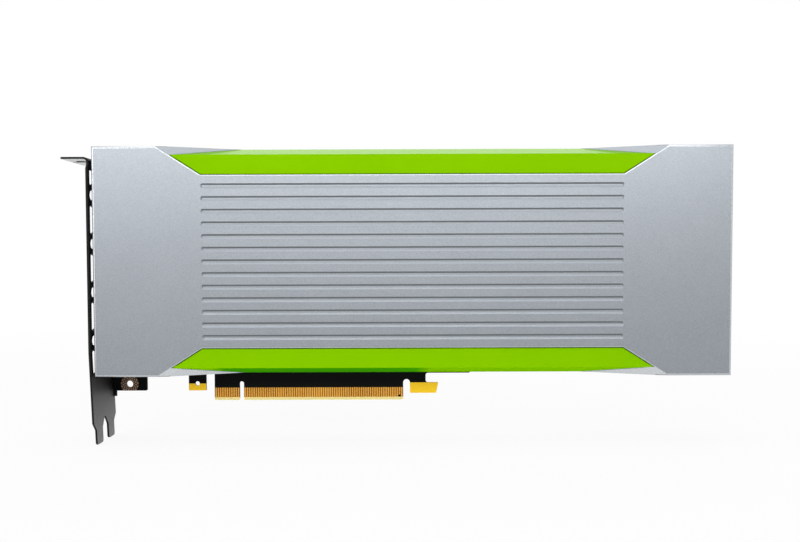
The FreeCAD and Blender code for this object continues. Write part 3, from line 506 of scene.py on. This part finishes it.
def round_edges(shape, edges, radius, segments=2):
    bmesh.ops.bevel(shape, geom=edges, offset=radius * MM, offset_type="OFFSET",
                    segments=segments, profile=0.5, affect="EDGES", clamp_overlap=True)


cover_shape = clean_copy("cover")
print("cover:", len(cover_shape.faces), "faces,", len(sharp_edges(cover_shape)), "sharp edges")
cover_shape.free()

# %% [markdown]
# A changed shape stands in for the node that it was made from, on the same body. The node's own
# mesh could be swapped instead, but the solids are kept as they came, to measure against.

# %% Standing in for a node
def stand_in(shape, node, ending, materials):
    """Turns a finished shape into a piece that replaces a CAD node."""
    mesh = bpy.data.meshes.new(node + ending)
    shape.to_mesh(mesh)
    shape.free()
    for material in materials:
        mesh.materials.append(material)
    piece = bpy.data.objects.new(node + ending, mesh)
    bpy.context.collection.objects.link(piece)
    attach(piece, "root")
    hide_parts(node)
    print(piece.name, "has", len(mesh.polygons), "faces")


print("helper: stand_in")

# %% [markdown]
# A softened copy takes up to three radii, since a real piece has them too: broad where it's
# meant to be seen, fine where it was pressed, and the usual one everywhere else. What differs
# from piece to piece is handed over as small functions that look at an edge, a point or a face.

# %% Softened copies
CHAMFER, FINE_RADIUS = 0.25, 0.06           # mm


def softened(node, radius, materials, fine=None, wide=None, added=None, pick=None):
    """Puts a copy with rounded edges in place of a CAD node.

    fine(point) tells where a smaller radius goes, wide(edge) which edges get a broad chamfer,
    added(shape) builds more faces, and pick(face) gives the number of a face's material.
    """
    shape = clean_copy(node)
    if wide:
        round_edges(shape, [e for e in sharp_edges(shape) if wide(e)], CHAMFER, segments=1)
    if fine:
        small = [e for e in sharp_edges(shape) if all(fine(v.co) for v in e.verts)]
        round_edges(shape, small, FINE_RADIUS, segments=1)
    large = [e for e in sharp_edges(shape) if not (fine and any(fine(v.co) for v in e.verts))]
    round_edges(shape, large, radius)
    if added:
        added(shape)
    shape.normal_update()
    for face in shape.faces:
        face.material_index = pick(face) if pick else 0
    stand_in(shape, node, "_soft", materials)


print("chamfer", CHAMFER, "mm, fine radius", FINE_RADIUS, "mm")

# %% [markdown]
# The furrows pressed into the cover are shallow, so their edges get a finer radius than the
# rims round the strips. They could be listed edge by edge. It's simpler to say where they are:
# between the two strips, and close to the front face.

# %% Furrows
front_y = cad_box[0][1]
bottom_strip, top_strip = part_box("bottom_accent"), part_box("top_accent")
FURROW_MARGIN, FURROW_REACH = 1.0, 0.7      # mm from the strips, mm back from the front


def in_furrows(point):
    low, high = bottom_strip[1].z + FURROW_MARGIN * MM, top_strip[0].z - FURROW_MARGIN * MM
    return low < point.z < high and point.y < front_y + FURROW_REACH * MM \
        and bottom_strip[0].x < point.x < bottom_strip[1].x


print("furrows between", round(bottom_strip[1].z, 4), "and", round(top_strip[0].z, 4))

# %% [markdown]
# At each corner of the cover a silver facet runs from the front down to the strip's tip. The
# solid stops short there, where the room for the strip passes it, so a small wedge is added
# from the fold to the bottom of that room. A boolean could cut the wedge from a block, but it
# tends to fail on faces that lie in one plane. Rings of three points, laid along the fold, are
# enough. Their places follow from the facet: where the fold starts, how fast the facet falls
# away, and how deep the room is.

# %% Rings of a wedge
FOLD_START = 106.6                          # mm from the middle of the cover
FOLD_DROP, ROOM_DEPTH = 3.75, 2.5           # mm down from the edge, mm back from the front
FALL_ALONG, FALL_BACK = 1.58, 1.81          # mm inwards for each mm down, for each mm back
RIM_ROUND, RIM_TURN = 1.0, 0.29             # mm, the rounded outer rim and its midway point
FOOT_SHARE, SHY = 0.868, 0.06               # how far the foot drops, mm short of the strip
TUCK_FOLD, TUCK_BACK, TUCK_FOOT = 0.5, 0.2, 0.3     # mm that the wedge is sunk in the cover


def wedge_rings():
    """Three points a ring, as (mm from the middle, mm back, mm down), from the edge inwards."""
    rim = ((0.0, RIM_ROUND), (RIM_TURN, RIM_TURN), (RIM_ROUND, 0.0), (FOLD_DROP - SHY, 0.0))
    rings = []
    for drop, depth in rim:
        foot = min(drop, FOLD_DROP * FOOT_SHARE - SHY)
        start = FOLD_START - FALL_ALONG * foot
        rings.append(((FOLD_START - FALL_ALONG * drop + TUCK_FOLD, depth + TUCK_BACK, drop),
                      (start - FALL_BACK * ROOM_DEPTH, ROOM_DEPTH, foot),
                      (start + TUCK_FOOT, ROOM_DEPTH, foot)))
    return rings


print("wedge:", len(wedge_rings()), "rings, from", FOLD_START, "mm")

# %% [markdown]
# Walls between neighbouring rings and a lid at each end close the wedge. It goes straight into
# the cover's mesh, so that it gets the cover's finish. The four corners mirror one another, so
# two signs turn the same rings into all four.

# %% Facet wedges
middle_x = (bottom_strip[0].x + bottom_strip[1].x) / 2


def facet_wedges(shape):
    """Silver between each fold and the bottom of the strip's room, at the four corners."""
    for edge_z, down in ((top_strip[1].z, -1), (bottom_strip[0].z, 1)):
        for side in (-1, 1):
            rings = [[shape.verts.new((middle_x + side * half * MM, front_y + depth * MM,
                                       edge_z + down * drop * MM))
                      for half, depth, drop in ring] for ring in wedge_rings()]
            faces = [shape.faces.new(rings[0]), shape.faces.new(rings[-1][::-1])]
            for near, far in zip(rings, rings[1:]):
                for i in range(3):
                    j = (i + 1) % 3
                    faces.append(shape.faces.new((near[i], far[i], far[j], near[j])))
            bmesh.ops.recalc_face_normals(shape, faces=faces)


print("wedges about", round(middle_x, 4), "m along the card")

# %% [markdown]
# The rims and the facets underneath get lighter, smoother finishes than the silver: painted
# highlights. The facets' is the lightest; the rims' is a little less light and draws the thin
# light line along every rim. The upper side of each furrow faces the floor and gets a darker
# finish, a painted shade. All four could be mixed in one material by masks. Separate materials,
# picked for each face by where it is and which way it looks, are easier to read and bake
# cleaner. Which way a face looks is told by its normal: its Y is -1 for a face that looks
# straight to the front, its Z is -1 for one straight down.

# %% Cover in place
# Painted highlight: the facets underneath get the lightest finish, for the light they catch from
# below.
facet_painted_highlight = finish("facet painted highlight", (196, 199, 203), (212, 215, 219), specks=2600, clouds=0.2,
                    gloss=(0.22, 0.3), metal=0.9, bump=0.004)
# Painted highlight: the rims' lighter finish draws their thin light line.
rim_painted_highlight = finish("rim painted highlight", (182, 185, 189), (196, 199, 203), specks=2600, clouds=0.2,
                  gloss=(0.24, 0.32), metal=0.9, bump=0.004)
# Painted shade: the upper walls of the furrows get a darker finish.
furrow_shade = finish("furrow shade", (108, 113, 117), (122, 127, 131), specks=2600, clouds=0.1,
                      gloss=(0.4, 0.5), metal=0.9, bump=0.004)
SILVER, FACET_HIGHLIGHT, RIM_HIGHLIGHT, SHADE = range(4)
RIM_REACH = 0.45                            # mm back from the front
STRAIGHT, HALFWAY, A_LITTLE = -0.98, -0.5, -0.2     # how far a normal looks one way
FACET_FRONT, FACET_ALONG = -0.8, 0.3        # the same for a facet, to the front and along


# Rims and the facets underneath get painted highlights, the furrows' upper walls painted shade.
def cover_finish(face):
    middle, normal = face.calc_center_median(), face.normal
    if in_furrows(middle):
        return SHADE if normal.z < A_LITTLE else SILVER
    if middle.y < front_y + RIM_REACH * MM and STRAIGHT < normal.y < HALFWAY:
        return RIM_HIGHLIGHT
    facet_below = normal.z < HALFWAY and FACET_FRONT < normal.y < HALFWAY \
        and abs(normal.x) > FACET_ALONG
    return FACET_HIGHLIGHT if facet_below else SILVER


softened("cover", radius=0.3, materials=[silver, facet_painted_highlight, rim_painted_highlight, furrow_shade],
         fine=in_furrows, added=facet_wedges, pick=cover_finish)

# %% [markdown]
# ## Green strips
#
# The strips along both long edges are moulded in a strong yellow-green with an even satin
# gloss. The grain is finer and much weaker than on the metal. With the usual shine of plastic
# the sloped side would mirror the white room and turn pale, so the shine is kept close to
# nothing. The side underneath isn't polished at all, and it gets a brighter green than the
# front: painted light, for the light that the floor throws up at it.

# %% Green
green = finish("green strip", (122, 185, 0), (131, 192, 1), specks=4000, clouds=0.4,
               gloss=(0.16, 0.22), bump=0.001, shine=0.002)
# Painted shade: the darker green of the chamfers beside the silver.
green_edge_painted_shade = finish("green strip edge painted shade", (46, 88, 0), (54, 98, 1), specks=4000, clouds=0.4,
                    gloss=(0.3, 0.4), bump=0.001, shine=0.01)
# Painted light: the underside gets a brighter green than the front.
green_matt_painted_light = finish("matt green painted light", (150, 226, 0), (158, 234, 1), specks=4000, clouds=0.4,
                    gloss=(0.6, 0.7), bump=0.001, shine=0.0)

# %% [markdown]
# Above the connector the black board is close behind the underside of the strip, and the green
# is darker there. Lamps could be moved until a shadow falls so. A tint between two places along
# the card is surer, and it holds in any light.

# %% Shade above the connector
SHADE_MIDDLE, SHADE_HALF, SHADE_FADE = 37, 43.5, 3      # mm along the card


def shade_near_board(material, shade):
    tree = material.node_tree
    offset = math_node(tree, "SUBTRACT", place_in(tree)["X"], SHADE_MIDDLE * MM)
    tinted(material, shade, math_node(tree, "ABSOLUTE", offset),
           start=(SHADE_HALF + SHADE_FADE) * MM, end=(SHADE_HALF - SHADE_FADE) * MM)


shade_near_board(green_matt_painted_light, (78, 188, 3))
print("shade from", SHADE_MIDDLE - SHADE_HALF, "to", SHADE_MIDDLE + SHADE_HALF, "mm")

# %% [markdown]
# Where a strip meets the silver, its edge turns down into the gap. That edge is a chamfer with
# a darker green finish of its own, a painted shade that draws a dark line along the gap. A wider
# one would show better, but the short edges at the strips' tips leave no room for it. The
# crease, where the front of a strip turns into its slope, stays crisp: it's told from the other
# edges by its height.

# %% Strips in place
FACE_GREEN, SHADED_EDGE_GREEN, LIT_MATT_GREEN = range(3)
ON_FRONT, ON_CREASE, OFF_CREASE = 0.01, 0.4, 0.6    # mm, how near a point or face must be
CHAMFER_REACH = CHAMFER + 0.05              # mm back from the front
DOWNWARD, NOT_STRAIGHT = -0.9, -0.95        # how far a normal looks one way


def dress_strip(strip, crease_z):
    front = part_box(strip)[0].y

    def beside_silver(edge):
        """Front edges of the strip, except the crease."""
        ends = [v.co for v in edge.verts]
        return all(abs(v.y - front) < ON_FRONT * MM for v in ends) and \
            not all(abs(v.z - crease_z) < ON_CREASE * MM for v in ends)

    # Faces that look down get the brighter green, painted light; chamfers beside the silver the
    # darker one, painted shade.
    def strip_finish(face):
        middle, normal = face.calc_center_median(), face.normal
        if normal.z < DOWNWARD and middle.z < crease_z:
            return LIT_MATT_GREEN
        in_gap = middle.y < front + CHAMFER_REACH * MM and NOT_STRAIGHT < normal.y < HALFWAY \
            and abs(middle.z - crease_z) > OFF_CREASE * MM
        return SHADED_EDGE_GREEN if in_gap else FACE_GREEN

    softened(strip, radius=0.08, materials=[green, green_edge_painted_shade, green_matt_painted_light],
             wide=beside_silver, pick=strip_finish)


dress_strip("top_accent", top_strip[1].z - FOLD_DROP * MM)
dress_strip("bottom_accent", bottom_strip[0].z + FOLD_DROP * MM)

# %% [markdown]
# ## Bracket
#
# The slot bracket is folded steel with a dark, dull coat. Painted shade lies on it as well: it's
# nearly black where it runs beside the cover, in the cover's shade, and paler towards the
# tongues. A tint that grows downwards paints that. Scratches could be drawn one by one, but at
# this size they melt into an even, paler coat, so a tint that grows downwards is enough.

# %% Bracket coat
# Painted shade: the coat is nearly black beside the cover and fades to a paler grey downwards.
bracket_coat_painted_shade = finish("bracket coat painted shade", (20, 22, 20), (28, 30, 28), specks=2200, clouds=0.35,
                      gloss=(0.45, 0.6), metal=0.15, bump=0.01, shine=0.25)
SHADE_FADES_FROM, SHADE_GONE_AT = 8, -14               # mm, heights
tinted(bracket_coat_painted_shade, (127, 127, 127), place_in(bracket_coat_painted_shade.node_tree)["Z"],
       start=SHADE_FADES_FROM * MM, end=SHADE_GONE_AT * MM)
print("painted shade on the coat fades from", SHADE_FADES_FROM, "to", SHADE_GONE_AT, "mm")

# %% [markdown]
# The cut edge that faces the front gets a black finish over its whole length, a painted shade
# from the cover beside it. The underside of the screw tab gets a pale bare-steel finish, a
# painted reflection of the white room below it. Both are picked by the way a face looks.

# %% Bracket in place
bracket_edge_painted_shade = finish("bracket edge painted shade", (16, 18, 16), (24, 26, 24), specks=2200, clouds=0.35,
                      gloss=(0.45, 0.6), bump=0.01, shine=0.1)
bare_steel_painted_reflection = finish("bare steel painted reflection", (196, 197, 198), (222, 223, 224), specks=2200, clouds=0.35,
                    gloss=(0.35, 0.5), metal=0.7, bump=0.01)
COAT, SHADED_EDGE, BARE_REFLECTING = range(3)
SCREW_TAB_ABOVE = 90                        # mm, height


# Painted shade on the front cut edge, painted reflection on the tab's underside.
def bracket_finish(face):
    if face.normal.z < DOWNWARD and face.calc_center_median().z > SCREW_TAB_ABOVE * MM:
        return BARE_REFLECTING
    return SHADED_EDGE if face.normal.y < HALFWAY else COAT


softened("bracket", radius=0.1, materials=[bracket_coat_painted_shade, bracket_edge_painted_shade, bare_steel_painted_reflection],
         pick=bracket_finish)

# %% [markdown]
# ## Circuit board
#
# The board wears matt black solder mask. Its milled edges show the bare laminate, which is
# brown. On the connector's lead-in, cut at a slant just below the contacts, it's pale yellow.
# The edges could be separate faces with their own material, but the board keeps the mesh it
# came with, so a mask picks them out: every surface that doesn't look straight to the front or
# back is an edge.

# %% Board
mask_black = finish("black solder mask", (12, 14, 13), (21, 23, 21), specks=3000, clouds=0.5,
                    gloss=(0.4, 0.55), bump=0.006, shine=0.04)
PAST_LEAD_IN = 0.05                         # mm above the foot of the contacts
lead_in_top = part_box("front_contacts")[0].z + PAST_LEAD_IN * MM


def show_laminate(material, pale, brown):
    """Bare laminate: brown on the edges, pale on those of the lead-in."""
    tree = material.node_tree
    facing = tree.nodes.new("ShaderNodeSeparateXYZ")
    geometry = tree.nodes.new("ShaderNodeNewGeometry")
    tree.links.new(geometry.outputs["True Normal"], facing.inputs[0])
    straight = math_node(tree, "ABSOLUTE", facing.outputs["Y"])
    cut = math_node(tree, "LESS_THAN", straight, abs(STRAIGHT))
    low = math_node(tree, "LESS_THAN", place_in(tree)["Z"], lead_in_top)
    tinted(material, brown, cut)
    tinted(material, pale, math_node(tree, "MULTIPLY", cut, low))


show_laminate(mask_black, pale=(255, 234, 160), brown=(44, 38, 28))
dress(mask_black, "circuit_board")

# %% [markdown]
# ## Gold and copper
#
# The contacts are plated with hard gold: a warm metal, nearly mirror smooth, with faint rub
# marks. The hook and the small tab wear softer immersion gold, which is yellower and duller.
# The rings round the screw hole are bare copper gone brown. One gold for all would be quicker,
# but the two platings lie side by side and the eye sees the difference.

# %% Gold and copper in place
contact_gold = finish("contact gold", (198, 134, 48), (230, 168, 74), specks=1500, clouds=0.5,
                      gloss=(0.22, 0.36), metal=0.9, bump=0.004)
dress(contact_gold, "front_contacts", "back_contacts", "power_pins")
tab_gold = finish("tab gold", (226, 184, 34), (240, 198, 50), specks=2500, clouds=0.4,
                  gloss=(0.3, 0.42), metal=0.85, bump=0.005, shine=0.1)
dress(tab_gold, "hook_plating", "tab_plating")
ring_copper = finish("ring copper", (66, 50, 40), (108, 82, 66), specks=1500, clouds=0.2,
                     gloss=(0.35, 0.55), metal=0.6, bump=0.03)
dress(ring_copper, "ground_rings")

# %% [markdown]
# The ring under the screw is tinned with rows of small raised dots, so that the screw bites.
# They could be a hundred small domes. Dots in the finish are lighter: two waves, one round the
# hole and one outwards from it, are multiplied. Where both are high or both are low there's a
# dot, and the rows come out staggered. The ring is cut off flat at its foot, so the middle of
# the hole is found from its sides and its top.

# %% Dots on the rings
ring_low, ring_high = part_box("ground_rings")
hole_x = (ring_low.x + ring_high.x) / 2
hole_z = ring_high.z - (ring_high.x - ring_low.x) / 2
DOTS_ROUND, ROW_PITCH = 15, 1.6             # waves in a full turn, mm for a wave outwards
DOT_LEVEL = 0.35                            # of the waves' product; higher gives smaller dots


def ring_dots(material, dot_colour):
    tree = material.node_tree
    place = place_in(tree)
    across = math_node(tree, "SUBTRACT", place["X"], hole_x)
    up = math_node(tree, "SUBTRACT", place["Z"], hole_z)
    squares = [math_node(tree, "POWER", side, 2.0) for side in (across, up)]
    radius = math_node(tree, "SQRT", math_node(tree, "ADD", *squares))
    turn = math_node(tree, "ARCTAN2", up, across)
    waves = [math_node(tree, "SINE", math_node(tree, "MULTIPLY", along, rate))
             for along, rate in ((turn, DOTS_ROUND), (radius, 2 * math.pi / (ROW_PITCH * MM)))]
    dot = math_node(tree, "GREATER_THAN", math_node(tree, "MULTIPLY", *waves), DOT_LEVEL)
    tinted(material, dot_colour, dot)
    tree.links.new(dot, tree.nodes["bump"].inputs["Height"])


ring_dots(ring_copper, (196, 164, 138))
print("dots round", round(hole_x, 4), round(hole_z, 4))

# %% [markdown]
# ## Cooling stack
#
# Air enters at the open far end and leaves through the bracket, past folded aluminium fins. The
# fins are bare metal, the base under them too, and the vapour chamber is copper. Behind them
# lies a black coated frame. These pieces are seen only through openings, so they keep the
# meshes they came with and get a finish alone.

# %% Cooling stack in place
fin_metal = finish("fin metal", (176, 178, 182), (204, 206, 210), specks=1800, clouds=0.4,
                   gloss=(0.3, 0.45), metal=0.85, bump=0.006)
dress(fin_metal, "heatsink_fins", "fin_base", "corner_blocks")
chamber_copper = finish("chamber copper", (170, 96, 62), (204, 128, 88), specks=1500, clouds=0.5,
                        gloss=(0.28, 0.42), metal=0.9, bump=0.006)
dress(chamber_copper, "vapor_chamber")
frame_black = finish("cast frame", (26, 26, 27), (42, 42, 43), specks=1600, clouds=0.3,
                     gloss=(0.5, 0.65), metal=0.2, bump=0.04)
dress(frame_black, "cooling_frame")

# %% [markdown]
# ## Parts on the board
#
# Moulded chips are matt black, the processor's substrate is a dark green laminate, and its die
# is bare, polished silicon. One dark plastic could do for all of them. Each gets a grain of its
# own size and swing, because that is how such parts are told apart in the hand.

# %% Chips
chip_moulding = finish("chip moulding", (26, 26, 27), (40, 40, 41), specks=3500,
                       gloss=(0.5, 0.62), bump=0.01)
dress(chip_moulding, "memory_chips", "power_stages", "output_capacitors")
substrate = finish("substrate", (24, 44, 34), (32, 56, 44), specks=2200, gloss=(0.35, 0.5),
                   bump=0.006)
dress(substrate, "processor_substrate")
silicon = finish("silicon", (96, 98, 104), (112, 114, 120), specks=600, gloss=(0.12, 0.2),
                 metal=0.8, bump=0.001)
dress(silicon, "processor_die")

# %% [markdown]
# Chokes are pressed from grey powder, pads are soft and grey, the small capacitors are tan
# ceramic, and the tall ones are aluminium cans. They differ more in gloss than in colour: the
# pads have nearly none, and the cans are the brightest.

# %% Chokes, pads and capacitors
pressed_powder = finish("pressed powder", (52, 52, 54), (74, 74, 76), specks=2600,
                        gloss=(0.55, 0.7), bump=0.03)
dress(pressed_powder, "chokes", "input_chokes")
thermal_pad = finish("thermal pad", (132, 136, 142), (152, 156, 162), specks=1200,
                     gloss=(0.7, 0.85), bump=0.02)
dress(thermal_pad, "memory_pads", "stage_pads", "choke_pads")
tan_ceramic = finish("tan ceramic", (142, 116, 86), (168, 140, 104), specks=3000,
                     gloss=(0.4, 0.55), bump=0.008)
dress(tan_ceramic, "small_capacitors")
capacitor_can = finish("capacitor can", (190, 192, 196), (214, 216, 220), specks=1400,
                       gloss=(0.25, 0.4), metal=0.9, bump=0.004)
dress(capacitor_can, "bulk_capacitors")
connector_nylon = finish("connector nylon", (22, 22, 23), (36, 36, 37), specks=1800,
                         gloss=(0.42, 0.58), bump=0.01)
dress(connector_nylon, "power_connector")

# %% [markdown]
# ## Back of the card
#
# The backplate is a black anodised tray with pressed furrows, and the cross that clamps the
# processor is plain spring steel. A finish alone would leave them looking cut from paper, since
# the back is all edges. Both are softened, the way the cover was.

# %% Back in place
anodised = finish("black anodised", (24, 24, 26), (36, 36, 38), specks=2600, clouds=0.25,
                  gloss=(0.42, 0.56), metal=0.35, bump=0.012)
softened("backplate", radius=0.12, materials=[anodised])
spring_steel = finish("spring steel", (128, 129, 132), (160, 161, 164), specks=1500, clouds=0.45,
                      gloss=(0.28, 0.42), metal=0.9, bump=0.006)
softened("retention_plate", radius=0.12, materials=[spring_steel])
dress(spring_steel, "processor_stiffener")

# %% [markdown]
# ## Screws
#
# Each screw comes as two plain prisms. The real ones have a low domed head with a six-lobed
# recess. A boolean could cut the recess, but the head is easier made in one go, as a profile
# turned round Y: the recess comes from letting the radius of its inner rings swing six times
# round the circle. First the places of the screws are read from their solids, by walking from
# point to point along the edges until a solid has no points left.

# %% Places of the screws
def separate_solids(node):
    """The boxes of a node's separate solids, as (low, high) corners."""
    shape = bmesh.new()
    shape.from_mesh(nodes[node].data)
    bmesh.ops.remove_doubles(shape, verts=shape.verts, dist=SAME_POINT)
    seen, boxes = set(), []
    for first in shape.verts:
        if first in seen:
            continue
        seen.add(first)
        solid, border = [], [first]
        while border:
            vert = border.pop()
            solid.append(vert.co.copy())
            fresh = {link.other_vert(vert) for link in vert.link_edges} - seen
            seen |= fresh
            border.extend(fresh)
        boxes.append((Vector(min(p[i] for p in solid) for i in range(3)),
                      Vector(max(p[i] for p in solid) for i in range(3))))
    shape.free()
    return boxes


screw_boxes = {node: separate_solids(node) for node in ("cover_screws", "frame_screws",
                                                        "ear_screws", "retention_screws")}
print("screws:", {node: len(boxes) for node, boxes in screw_boxes.items()})

# %% [markdown]
# The profile runs from the tip of the shank over the dome to the bottom of the recess. Only the
# length and the head's width differ from screw to screw, so both are taken from the box. Both
# ends are rings too small to see, since a ring keeps the walls simple where one point wouldn't.

# %% Screw profile
SHANK, HEAD_THICK = 1.0, 0.9                # mm, the shank's radius and the head's height
LOBE_SWING = 0.16                           # how far the recess's radius swings
CLOSED = 0.0002                             # of the shank, small enough to look like a point


def screw_profile(low, high):
    """(radius, Y, swing) rings of a screw from its tip to the middle of its recess."""
    head, shank = (high.x - low.x) / 2, SHANK * MM
    seat, top = high.y - HEAD_THICK * MM, high.y
    return [(CLOSED * shank, low.y, 0), (0.7 * shank, low.y, 0), (shank, low.y + 0.3 * MM, 0),
            (shank, seat, 0), (0.97 * head, seat, 0), (head, seat + 0.08 * MM, 0),
            (head, seat + 0.35 * MM, 0), (0.93 * head, seat + 0.62 * MM, 0),
            (0.75 * head, top - 0.06 * MM, 0), (0.58 * head, top, 0),
            (0.5 * head, top, LOBE_SWING), (0.46 * head, top - 0.08 * MM, LOBE_SWING),
            (0.44 * head, top - 0.55 * MM, LOBE_SWING), (CLOSED * shank, top - 0.62 * MM, 0)]


print("profile:", len(screw_profile(*screw_boxes["cover_screws"][0])), "rings")

# %% [markdown]
# Turning the profile gives a ring of points for each of its steps, and walls join the rings.
# All screws of a node go into one mesh, because the node holds them all. They're blackened
# steel, a little shinier than the plate they sit in.

# %% Turned screws
LOBES, STEPS = 6, 48                        # lobes of the recess, points in a full turn


def turned_screw(shape, low, high):
    middle = (low + high) / 2
    rings = []
    for radius, y, swing in screw_profile(low, high):
        ring = []
        for i in range(STEPS):
            turn = 2 * math.pi * i / STEPS
            reach = radius * (1 + swing * math.cos(LOBES * turn))
            ring.append(shape.verts.new((middle.x + reach * math.cos(turn), y,
                                         middle.z + reach * math.sin(turn))))
        rings.append(ring)
    for ring, following in zip(rings, rings[1:]):
        for i in range(STEPS):
            j = (i + 1) % STEPS
            shape.faces.new((ring[i], ring[j], following[j], following[i]))
    shape.faces.new(rings[0][::-1])
    shape.faces.new(rings[-1])


screw_black = finish("black screw", (34, 34, 36), (58, 58, 60), specks=1800, gloss=(0.26, 0.4),
                     metal=0.8, bump=0.004)
for node, boxes in screw_boxes.items():
    shape = bmesh.new()
    for low, high in boxes:
        turned_screw(shape, low, high)
    bmesh.ops.recalc_face_normals(shape, faces=shape.faces)
    stand_in(shape, node, "_turned", [screw_black])
